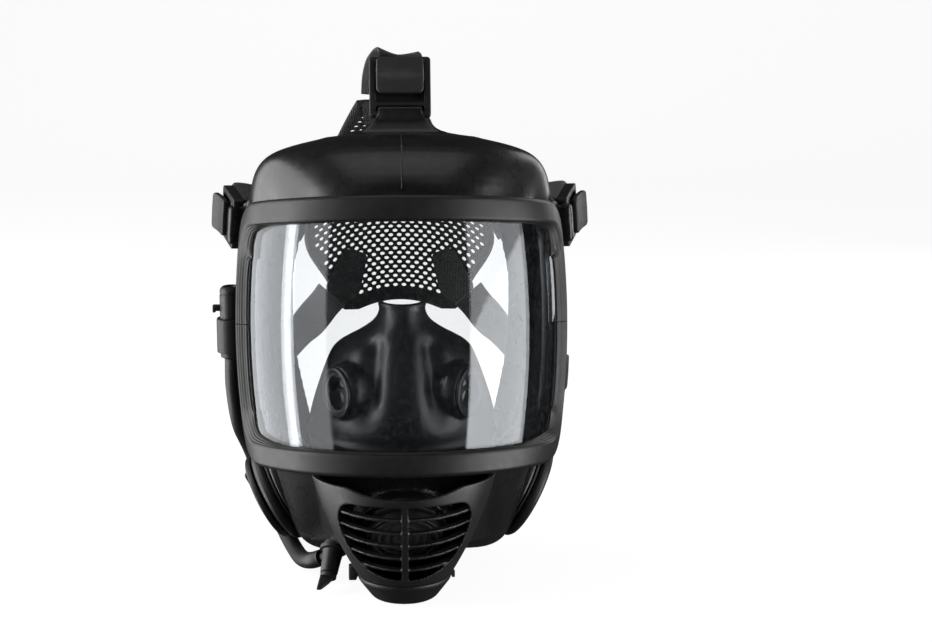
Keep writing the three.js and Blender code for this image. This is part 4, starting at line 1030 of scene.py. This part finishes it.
def build_frame(buckle):
    half = buckle["width"] / 2
    inside = half - BUCKLE_RAIL
    slot, window = -BUCKLE_HALF + 3, -BUCKLE_HALF + 8.3
    outlines = [rounded_rectangle(-half, half, -BUCKLE_HALF, BUCKLE_HALF, 2),
                rounded_rectangle(-inside, inside, slot, slot + 2.8, 0.9, 4),
                rounded_rectangle(-inside, inside, window, BUCKLE_HALF - 2.5, 1.2, 5)]
    name = "buckle_frame_" + buckle["name"]
    back = -BUCKLE_THICKNESS / 2
    frame_plate = rounded_plate(name, outlines, back, -back, 0.6, PLASTIC, buckle["place"])
    web = box("web", (-inside - 0.5, window - 0.5, back + 0.05), (inside + 0.5, PIN_AT - 2.8, back + 0.95),
              PLASTIC, buckle["place"])
    ears = [box("ear", (min(x), -4, back + 0.05), (max(x), 4, back + 0.95), PLASTIC, buckle["place"])
            for x in ((inside - 1.1, inside + 0.5), (-inside + 1.1, -inside - 0.5))]
    keep(fused(frame_plate, web, *ears), "moulded_plastic", name)
    pin = disc("buckle_pin_" + buckle["name"], 1.4, -half + 1.6, half - 1.6, STEEL,
               buckle["place"] @ shifted(y=PIN_AT) @ turned_about("Y", 90), 32, 0.3)
    keep(pin, "pin_steel", "buckle_pin_" + buckle["name"])


def build_lever(buckle):
    """Finger pad that flares outwards at its free end, on a barrel round the pin."""
    name, place = "buckle_lever_" + buckle["name"], buckle["place"]
    inside = buckle["width"] / 2 - BUCKLE_RAIL - 0.6
    reach, top = inside + 0.4, BUCKLE_THICKNESS / 2
    flare = 0.001 if buckle["name"] == "top" else 0.0085
    outline = rounded_rectangle(-reach, reach, -4, BUCKLE_HALF - 1, 2.6, 7)
    pad = rounded_plate("pad", [outline], top + 0.5, top + 3.4, 0.8, SATIN)
    work = bmesh.new()
    work.from_mesh(pad.data)
    for y in np.linspace(-2, BUCKLE_HALF - 3, 9):
        whole = work.verts[:] + work.edges[:] + work.faces[:]
        bmesh.ops.bisect_plane(work, geom=whole, plane_co=(0, y * MM, 0), plane_no=(0, 1, 0))
    bmesh.ops.bisect_plane(work, geom=work.verts[:] + work.edges[:] + work.faces[:], plane_co=(0, 0, 0),
                           plane_no=(1, 0, 0))
    for v in work.verts:
        y, above = v.co.y / MM, v.co.z / MM - top - 2
        v.co.z += flare * max(0.0, y + 2) ** 2 * MM
        if above > 0 and abs(v.co.x) < 1e-6:
            v.co.z += 0.12 * MM
    work.to_mesh(pad.data)
    work.free()
    bpy.context.view_layer.update()
    pad.data.transform(Matrix(np.diag([MM, MM, MM, 1]) @ place @ np.diag([1 / MM, 1 / MM, 1 / MM, 1])))
    pivot = place @ shifted(y=PIN_AT)
    root = box("root", (-inside + 1, PIN_AT - 2.2, 0), (inside - 1, PIN_AT + 2.2, top + 1), SATIN, place, 0.3)
    barrel = disc("barrel", 2.9, -inside + 1, inside - 1, SATIN, pivot @ turned_about("Y", 90), 48, 0.3)
    bore = disc("bore", 1.65, -20, 20, SATIN, pivot @ turned_about("Y", 90), 32)
    pad.name = name
    keep(carved(fused(pad, root, barrel), bore), "satin_plastic", name, body="lever_" + buckle["name"])


# ---------- harness ----------
def strap(name, path, width, across):
    """Flat webbing with rounded, slightly thicker edges; its own millimetres go to the weave."""
    half, thick = width / 2, STRAP_THICKNESS / 2
    x = np.linspace(-half + 0.5, half - 0.5, 13)
    crest = thick * (0.86 + 0.14 * np.abs(x / half) ** 8)
    top = np.stack([x, crest], -1)
    section = np.concatenate([top, [(half, thick * 0.35), (half, -thick * 0.35)], top[::-1] * (1, -1),
                              [(-half, -thick * 0.35), (-half, thick * 0.35)]])
    obj = sweep(name, path, section, WEBBING, across)
    add_cloth_map(obj, path, across)
    return obj


def add_cloth_map(obj, path, across):
    """UV map `cloth` in millimetres: u across the strap, v along it."""
    path = np.asarray(path)
    _, width, _ = sweep_frames(path, across)
    run = np.concatenate([[0], np.cumsum(np.linalg.norm(np.diff(path, axis=0), axis=1))])
    points = np.array([v.co for v in obj.data.vertices]) / MM
    nearest = np.array([np.argmin(np.sum((path - p) ** 2, axis=1)) for p in points])
    tangent = sweep_frames(path, across)[0][nearest]
    offset = points - path[nearest]
    u = np.sum(offset * width[nearest], axis=1)
    v = run[nearest] + np.sum(offset * tangent, axis=1)
    layer = obj.data.uv_layers.new(name="cloth")
    for loop in obj.data.loops:
        layer.data[loop.index].uv = (u[loop.vertex_index], v[loop.vertex_index])


def buckle_path(buckle, low, drop):
    """Start of a strap inside its buckle, under the lever's barrel and out at the back."""
    return moved([(0, -4, low), (0, BUCKLE_HALF + 1, drop)], buckle["place"])


def build_straps():
    by_name = {b["name"]: b for b in BUCKLES}
    top = spline([*buckle_path(by_name["top"], -4.4, -5.4), (-5, 96.5, 272), (-8, 112, 262),
                  (-PAD_LEAN, 124.5, 250.5)], 60)
    keep(strap("strap_top", top, TOP_STRAP_WIDTH, (1, 0, -0.12)), "harness_webbing", "strap_top")
    for side, label in SIDES:
        temple = spline([*buckle_path(by_name["temple_" + label], -4.6, -5.2), (side * 93, 135, 190),
                         (side * 76, 160, 182), (side * 53.5, 163, 170)], 70)
        keep(strap("strap_temple_" + label, temple, STRAP_WIDTH, (0, 0, 1)), "harness_webbing",
             "strap_temple_" + label)
        jaw = spline([*buckle_path(by_name["jaw_" + label], -5, -6), (side * 75, 146, 90),
                      (side * 59, 153, 108), (side * 40, 153, 131)], 70)
        turn = np.linspace(0, 1, 70)[:, None]
        across = (1 - turn) * np.array((0, 0, 1)) + turn * np.array((-side * 0.6, 0, 0.8))
        keep(strap("strap_jaw_" + label, jaw, STRAP_WIDTH, across), "harness_webbing", "strap_jaw_" + label)


# The pad is cut flat in (x, z), punched, and wrapped round the back of the head.
HOLE_HALF_WIDTH, HOLE_HALF_HEIGHT = 1.45, 0.95
HOLE_PITCH_X, HOLE_PITCH_Z, HEM, PAD_CORNER = 5.1, 2.6, 4.2, 9.0


def pad_outline():
    z = np.linspace(PAD_ROWS[0][0], PAD_ROWS[-1][0], 40)
    half = smooth_rows(PAD_ROWS, z)[:, 0]
    half = half - PAD_CORNER + np.sqrt(PAD_CORNER ** 2 - np.maximum(0, PAD_CORNER - (z - z[0])) ** 2)
    right = np.stack([half, z], -1)
    low = np.linspace(half[0], -half[0], 22)[1:-1]
    hem = np.stack([low, np.full_like(low, z[0])], -1)
    top = np.linspace(-half[-1], half[-1], 10)[1:-1]
    band = np.stack([top, np.full_like(top, z[-1])], -1)
    return np.concatenate([right[::-1], hem, right * (-1, 1), band])


def wrapped(flat, out=0.0):
    """Flat pad coordinates onto the back of the head, `out` mm outside the inner face."""
    x, z = flat[:, 0], flat[:, 1]
    half, back = smooth_rows(PAD_ROWS, z).T
    rise = (z - PAD_ROWS[0][0]) / (PAD_ROWS[-1][0] - PAD_ROWS[0][0])
    drop = PAD_HEM_DROP * (x / half) ** 2 * (1 - rise)
    lean = PAD_LEAN * np.clip((z - PAD_LEAN_FROM) / (PAD_ROWS[-1][0] - PAD_LEAN_FROM), 0, 1) ** 1.5
    return np.stack([x - lean, back - x * x / PAD_WRAP + out, z - drop], -1)


def pad_margin(x, z):
    """Distance from a pad point to the nearest edge of its row."""
    half = smooth_rows(PAD_ROWS, z)[:, 0]
    return np.minimum(half - np.abs(x), np.minimum(z - PAD_ROWS[0][0], PAD_ROWS[-1][0] - z))


def build_pad():
    outline = pad_outline()
    points, edges = [tuple(p) for p in outline], []
    count = len(outline)
    edges += [(i, (i + 1) % count) for i in range(count)]
    rows = np.arange(PAD_ROWS[0][0] + HEM, PAD_ROWS[-1][0] - HEM, HOLE_PITCH_Z)
    holes = []
    for k, z in enumerate(rows):
        columns = np.arange(-12, 13) * HOLE_PITCH_X + (k % 2) * HOLE_PITCH_X / 2
        for x in columns[pad_margin(columns, np.full_like(columns, z)) > HEM]:
            ring = circle(1, 10) * (HOLE_HALF_WIDTH, HOLE_HALF_HEIGHT) + (x, z)
            first = len(points)
            holes.append((x, z))
            points += [tuple(p) for p in ring]
            edges += [(first + i, first + (i + 1) % 10) for i in range(10)]
    holes = np.array(holes)
    verts, _, faces, *_ = delaunay_2d_cdt([Vector(p) for p in points], edges, [], 1, 1e-5)
    flat = np.array([tuple(v) for v in verts])
    middles = np.array([flat[list(f)].mean(0) for f in faces])
    away = (middles[:, None] - holes[None]) / (HOLE_HALF_WIDTH, HOLE_HALF_HEIGHT)
    solid = [f for f, inside in zip(faces, np.min(np.sum(away ** 2, axis=-1), axis=1) < 1) if not inside]
    obj = make("harness_pad", wrapped(flat, -1.5), solid, KNIT)
    thick = obj.modifiers.new("thick", "SOLIDIFY")
    thick.thickness = 1.3 * MM
    thick.offset = 0
    keep(apply_modifiers(obj), "harness_webbing", "harness_pad")
    build_pad_trim(outline)


def build_pad_trim(outline):
    """Folded hem round the pad and the doubled patches where the straps are sewn on."""
    path = wrapped(outline * (0.985, 1), -1.0)
    path = np.concatenate([path, path[:1]])
    outward = np.gradient(path, axis=0)
    flat = circle(1, 16) * (1.9, 1.1)
    away = np.cross(unit_rows(outward), (0, 1, 0))
    _, width, height = sweep_frames(path, away)
    sections = path[:-1, None] + flat[None, :, :1] * width[:-1, None] + flat[None, :, 1:] * height[:-1, None]
    keep(loft("pad_hem", sections, KNIT, closed=True), "harness_webbing")
    for side, label in SIDES:
        corners = np.array([(19, 152), (32, 158), (44, 143), (36, 130), (24, 132)]) * (side, 1)
        shape = softened(corners if side > 0 else corners[::-1], 3.0)
        keep(patch("pad_patch_" + label, shape), "harness_webbing")
    top = softened([(-12, 246), (12, 246), (13.5, 232), (-13.5, 232)], 1.5)
    keep(patch("pad_patch_top", top), "harness_webbing")


def unit_rows(v):
    return v / np.linalg.norm(v, axis=1)[:, None]


def patch(name, shape):
    """Second layer of cloth over the pad inside a flat outline."""
    count = len(shape)
    low, high = shape.min(0), shape.max(0)
    x, z = np.meshgrid(np.arange(low[0], high[0], 3.0), np.arange(low[1], high[1], 3.0))
    points = [Vector(p) for p in shape] + [Vector(p) for p in np.stack([x.ravel(), z.ravel()], -1)]
    edges = [(i, (i + 1) % count) for i in range(count)]
    verts, _, faces, *_ = delaunay_2d_cdt(points, edges, [], 1, 1e-5)
    flat = np.array([tuple(v) for v in verts])
    obj = make(name, wrapped(flat, -2.5), faces, WEBBING)
    thick = obj.modifiers.new("thick", "SOLIDIFY")
    thick.thickness = 1.2 * MM
    thick.offset = 0
    apply_modifiers(obj)
    layer = obj.data.uv_layers.new(name="cloth")
    for loop in obj.data.loops:
        co = obj.data.vertices[loop.vertex_index].co / MM
        layer.data[loop.index].uv = (co.x, co.z)
    return obj


# ---------- nose cup ----------
def build_nose_cup():
    low, high = CUP_ROWS[0][0], CUP_ROWS[-1][0]

    def at(u, v, face):
        angle, z = (u - 0.5) * math.pi, low + (high - low) * v
        wide, front, rear = smooth_rows(CUP_ROWS, z).T
        valley = np.exp(-((np.abs(wide * np.sin(angle)) - 15.5 - 0.1 * (125 - z)) / 5.5) ** 2)
        window = np.clip((z - 84) / 22, 0, 1) * np.clip((136 - z) / 9, 0, 1)
        fold = 4.5 * valley * window * window * (3 - 2 * window) * (np.cos(angle) > 0)
        ledge = 1.6 * np.exp(-((z - 76) / 2.2) ** 2) + 0.7 * np.exp(-((z - 66) / 1.2) ** 2)
        inset = face * 2.2 + fold - ledge
        x = (wide - inset) * np.sin(angle)
        return np.stack([x, rear - (rear - front - inset) * np.cos(angle), z], -1)

    parts = [plate("cup", at, 64, 48, CUP_RUBBER)]
    for side, _ in SIDES:
        place = cup_valve_place(side)
        parts.append(turned("boss", [(0, -13), (13.8, -13), (15.4, -4), (15, -1), (13.8, 1.4), (0, 1.4)],
                            CUP_RUBBER, place))
    edge = on_cup_edge(low + 1.2)
    parts.append(sweep("bead", edge, circle(1.9, 16), CUP_RUBBER))
    brow = on_cup_edge(high - 1.0)
    parts.append(sweep("bead", brow, circle(1.7, 16), CUP_RUBBER))
    cup = melted("nose_cup", parts, 0.9, 6, CUP_RUBBER)
    bores = [disc("bore", 11.6, -20, 12, CUP_RUBBER, cup_valve_place(side)) for side, _ in SIDES]
    keep(carved(cup, *bores), "soft_rubber", "nose_cup")
    for side, label in SIDES:
        place = cup_valve_place(side)
        rim = turned("cup_valve_seat_" + label, [
            (9, -4.6), (11.2, -4.6), (11.2, 1.8), (13.6, 1.8), (13.6, 3.2), (11.8, 3.6), (11, 2.6), (9, 2.6)],
            PLASTIC, place, 96, 0.45)
        rim = fused(rim, *cross("spoke", 9.6, 1.0, -4.6, -2.4, PLASTIC, place, 2.6))
        keep(rim, "moulded_plastic", "cup_valve_seat_" + label)
        flap = disc("cup_valve_disc_" + label, 10.4, -5.7, -5, SILICONE, place, 72, 0.3)
        keep(flap, "soft_rubber", "cup_valve_disc_" + label, body="cup_flap_" + label)


def on_cup_edge(z):
    angle = np.linspace(-math.pi / 2, math.pi / 2, 60)
    wide, front, rear = smooth_rows(CUP_ROWS, z)[0]
    return np.stack([(wide - 1) * np.sin(angle), rear - (rear - front - 1) * np.cos(angle),
                     np.full_like(angle, z)], -1)


# ---------- drinking gear ----------
def build_coupling():
    place, radius, length = shifted(*COUPLING_PLACE), COUPLING_RADIUS, COUPLING_LENGTH
    body = turned("drink_coupling", [
        (0, -8), (2.4, -8), (2.4, 0), (radius, 0), (radius, length - 5), (radius - 0.6, length - 4.4),
        (radius, length - 3.6), (radius - 0.4, length - 1.4), (radius - 1.8, length), (3, length),
        (2.6, length - 1.2), (0, length - 1.2)], PLASTIC, place, 72, 0.6)
    nub = box("nub", (-radius - 4, -1.6, length - 14), (-radius + 1, 1.6, length - 10.5), PLASTIC, place, 0.8)
    hook = box("hook", (-radius - 4, -1.6, length - 14.8), (-radius - 2.2, 1.6, length - 12), PLASTIC, place, 0.6)
    keep(fused(body, nub, hook), "moulded_plastic", "drink_coupling", body="coupling")
    inner, outer = radius + 0.4, radius + 2
    section = softened([(inner, 3), (outer, 3), (outer, 22), (inner, 22)], 0.6)
    a = np.linspace(math.radians(-168), math.radians(168), 60)
    clip = loft("coupling_holder", [[(r * math.cos(x), r * math.sin(x), z) for r, z in section] for x in a],
                SOFT_RUBBER, place=place)
    foot = box("foot", (outer - 1, -7, 1), (outer + 0.9, 8, 24), SOFT_RUBBER, place, 0.5)
    keep(fused(clip, foot), "soft_rubber", "coupling_holder")


def on_spout(reaches):
    """Points on the spout's axis at distances from the axis of the fitting."""
    away = np.array([math.cos(SPOUT_TURN), math.sin(SPOUT_TURN), 0])
    return moved([reach * away + (0, 0, SPOUT_AT) for reach in reaches], FITTING)


def build_hose():
    x, y, z = COUPLING_PLACE
    path = spline([(x, y, z - 0.6), (-93.5, 84.5, 92), (-91, 90, 70), (-86, 107, 50), (-77, 113, 22),
                   (-68, 95, 7.5), (-60, 62, 5.1), (-55, 40, 7), *on_spout([16, 8.2])], 160)
    outer, inner = circle(HOSE_RADIUS, 32), circle(HOSE_BORE, 32)
    _, width, height = sweep_frames(path, (0.3, 0.9, 0.2))
    skins = [path[:, None] + c[None, :, :1] * width[:, None] + c[None, :, 1:] * height[:, None]
             for c in (outer, inner)]
    points = np.concatenate([s.reshape(-1, 3) for s in skins])
    count, around = len(path), 32
    size = count * around
    wall = grid_faces(count, around, False, True)
    faces = wall + [[size + i for i in reversed(f)] for f in wall]
    for i in range(around):
        j = (i + 1) % around
        faces.append([i, j, size + j, size + i])
        last = size - around
        faces.append([last + j, last + i, size + last + i, size + last + j])
    hose = make("drink_hose", points, faces, SOFT_RUBBER)
    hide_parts("drink_hose")
    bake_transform(hose)


def build_fitting():
    body = turned("drink_valve_body", [
        (0, -13), (3, -13), (3, 0), (5.4, 0), (5.8, 2.4), (7.3, 2.8), (7.3, 5), (5.6, 5.4), (5.2, 9), (4.6, 18),
        (0, 18)], PLASTIC, FITTING, 64, 0.5)
    turn = turned_about("Z", math.degrees(SPOUT_TURN)) @ turned_about("Y", 90)
    spout = disc("spout", 2.6, 0, 10.2, PLASTIC, FITTING @ shifted(z=SPOUT_AT) @ turn, 40, 0.5)
    keep(fused(body, spout), "moulded_plastic", "drink_valve_body")
    cap = disc("drink_lever", 4.4, 18 + GAP, 20.6, SATIN, FITTING, 64, 0.5)
    tail = softened([(-4.2, 19.5), (3.6, 19.5), (1, 23.5), (-2.4, 27.6), (-4.8, 28), (-4.6, 24)], 1.0)
    on_edge = FITTING @ turned_about("Z", 90) @ turned_about("X", 90)
    wing = rounded_plate("wing", [tail], -1.8, 1.8, 0.5, SATIN, on_edge)
    keep(fused(cap, wing), "satin_plastic", "drink_lever", body="drink_turner")
    start = moved([(0, 0, -13.5), (0, 0, -20)], FITTING)
    path = spline([*start, (-20, 44, 46), (-7, 42, 64), (-3, 32, 82)], 80)
    keep(sweep("inner_drink_tube", path, circle(3, 24), SOFT_RUBBER, (0.2, 0.9, 0.3)), "soft_rubber",
         "inner_drink_tube")


def build_mould_seam():
    """Fine raised parting line down the middle of the forehead."""
    rim = on_rim(1, 1, np.array(1.0), 12.6, np.array(-8.2))
    bulge, rear = np.array(BULGE[0], float), np.array(REAR_EDGE[0], float)
    path = np.array([bezier(rim, bulge, rear, x) for x in np.linspace(0.03, 0.62, 60)])
    keep(sweep("mould_seam", path, circle(0.42, 12), FACE_RUBBER, (1, 0, 0)), "facepiece_rubber")


# ---------- studio ----------
def area_light(name, place, target, size, power, tone=(1, 1, 1)):
    lamp = bpy.data.lights.new(name, "AREA")
    lamp.shape, lamp.size, lamp.size_y, lamp.energy, lamp.color = "RECTANGLE", size[0], size[1], power, tone
    obj = bpy.data.objects.new(name, lamp)
    bpy.context.scene.collection.objects.link(obj)
    obj.location = place
    obj.rotation_euler = (Vector(target) - Vector(place)).to_track_quat("-Z", "Y").to_euler()


def seen_by_camera(tree, seen, hidden):
    """Shader that shows one thing to the camera and another to the light on the object."""
    path = tree.nodes.new("ShaderNodeLightPath")
    mix = tree.nodes.new("ShaderNodeMixShader")
    tree.links.new(path.outputs["Is Camera Ray"], mix.inputs[0])
    tree.links.new(hidden, mix.inputs[1])
    tree.links.new(seen, mix.inputs[2])
    return mix.outputs[0]


def build_stage():
    """White sweep: a floor that curves up into a back wall, bright to the camera only."""
    f = Finish("studio_sweep")
    white = f.blend(f.noise(400), (0.9, 0.9, 0.9, 1), (0.93, 0.93, 0.93, 1))
    glow = f.node("ShaderNodeEmission", Color=(1, 1, 1, 1), Strength=1.23)
    catch = f.node("ShaderNodeBsdfDiffuse", Color=white)
    pale = f.node("ShaderNodeMixShader", Fac=0.25)
    f.tree.links.new(glow.outputs[0], pale.inputs[1])
    f.tree.links.new(catch.outputs[0], pale.inputs[2])
    passed = f.node("ShaderNodeBsdfTransparent", Color=(1, 1, 1, 1))
    f.tree.links.new(seen_by_camera(f.tree, pale.outputs[0], passed.outputs[0]), f.output.inputs["Surface"])
    a = np.linspace(0, math.pi / 2, 24)
    radius, depth, width = 900.0, 1500.0, 5000.0
    line = [(-3500.0, -0.15)] + [(depth + radius * math.sin(x), radius * (1 - math.cos(x)) - 0.15) for x in a]
    line.append((depth + radius, 4000.0))
    points = [(x, y, z) for x in (-width, width) for y, z in line]
    make("studio_sweep", points, grid_faces(2, len(line)), f.material)


def build_world():
    world = bpy.data.worlds.new("studio")
    bpy.context.scene.world = world
    world.use_nodes = True
    tree = world.node_tree
    seen = tree.nodes["Background"]
    seen.inputs["Color"].default_value = (1, 1, 1, 1)
    hidden = tree.nodes.new("ShaderNodeBackground")
    hidden.inputs["Color"].default_value = (0.9, 0.95, 1, 1)
    hidden.inputs["Strength"].default_value = 0.03
    mixed = seen_by_camera(tree, seen.outputs[0], hidden.outputs[0])
    tree.links.new(mixed, tree.nodes["World Output"].inputs["Surface"])


def build_lights():
    middle = (0, 0.04, 0.15)
    area_light("top_box", (0.0, 0.1, 1.1), middle, (0.9, 0.5), 1.0)
    area_light("front_box", (-0.35, -1.2, 0.9), middle, (0.5, 0.5), 0.4)
    area_light("left_wall", (-0.95, 0.33, 0.2), (0, 0.33, 0.2), (1.05, 1.5), 15)
    area_light("left_front", (-0.95, -0.5, 0.2), (0, -0.5, 0.2), (0.6, 1.5), 4)
    area_light("left_strip", (-0.94, -0.12, 0.2), (0, -0.12, 0.2), (0.16, 1.5), 5)
    area_light("right_low", (0.95, -0.45, -0.1), (0, -0.45, -0.1), (1.05, 0.7), 10)
    area_light("right_high", (0.95, -0.45, 0.6), (0, -0.45, 0.6), (1.05, 0.7), 4)
    area_light("right_rim", (0.7, 0.8, 0.4), middle, (0.3, 0.9), 2)


CAMERA_AZIMUTH, CAMERA_ELEVATION = math.radians(-2.4), math.radians(12)
CAMERA_DISTANCE, CAMERA_SHIFT, CAMERA_HEIGHT = 1.1, 0.0346, 0.1355


def build_camera():
    a, e = CAMERA_AZIMUTH, CAMERA_ELEVATION
    right = Vector((math.cos(a), math.sin(a), 0))
    back = Vector((math.sin(a) * math.cos(e), -math.cos(a) * math.cos(e), math.sin(e)))
    lens = bpy.data.cameras.new("camera")
    lens.lens, lens.sensor_width, lens.clip_start = 78.7, 36.0, 0.05
    camera = bpy.data.objects.new("camera", lens)
    bpy.context.scene.collection.objects.link(camera)
    camera.location = Vector((0, 0.055, CAMERA_HEIGHT)) + right * CAMERA_SHIFT + back * CAMERA_DISTANCE
    camera.rotation_euler = (-back).to_track_quat("-Z", "Y").to_euler()
    bpy.context.scene.camera = camera


build_visor()
build_bezels()
build_lip()
build_facepiece()
build_mould_seam()
build_cover()
build_outlet()
build_module()
build_ports()
build_plug()
build_buckles()
build_straps()
build_pad()
build_nose_cup()
build_coupling()
build_hose()
build_fitting()
build_stage()
build_world()
build_lights()
build_camera()
bpy.context.scene.view_settings.view_transform = "Standard"
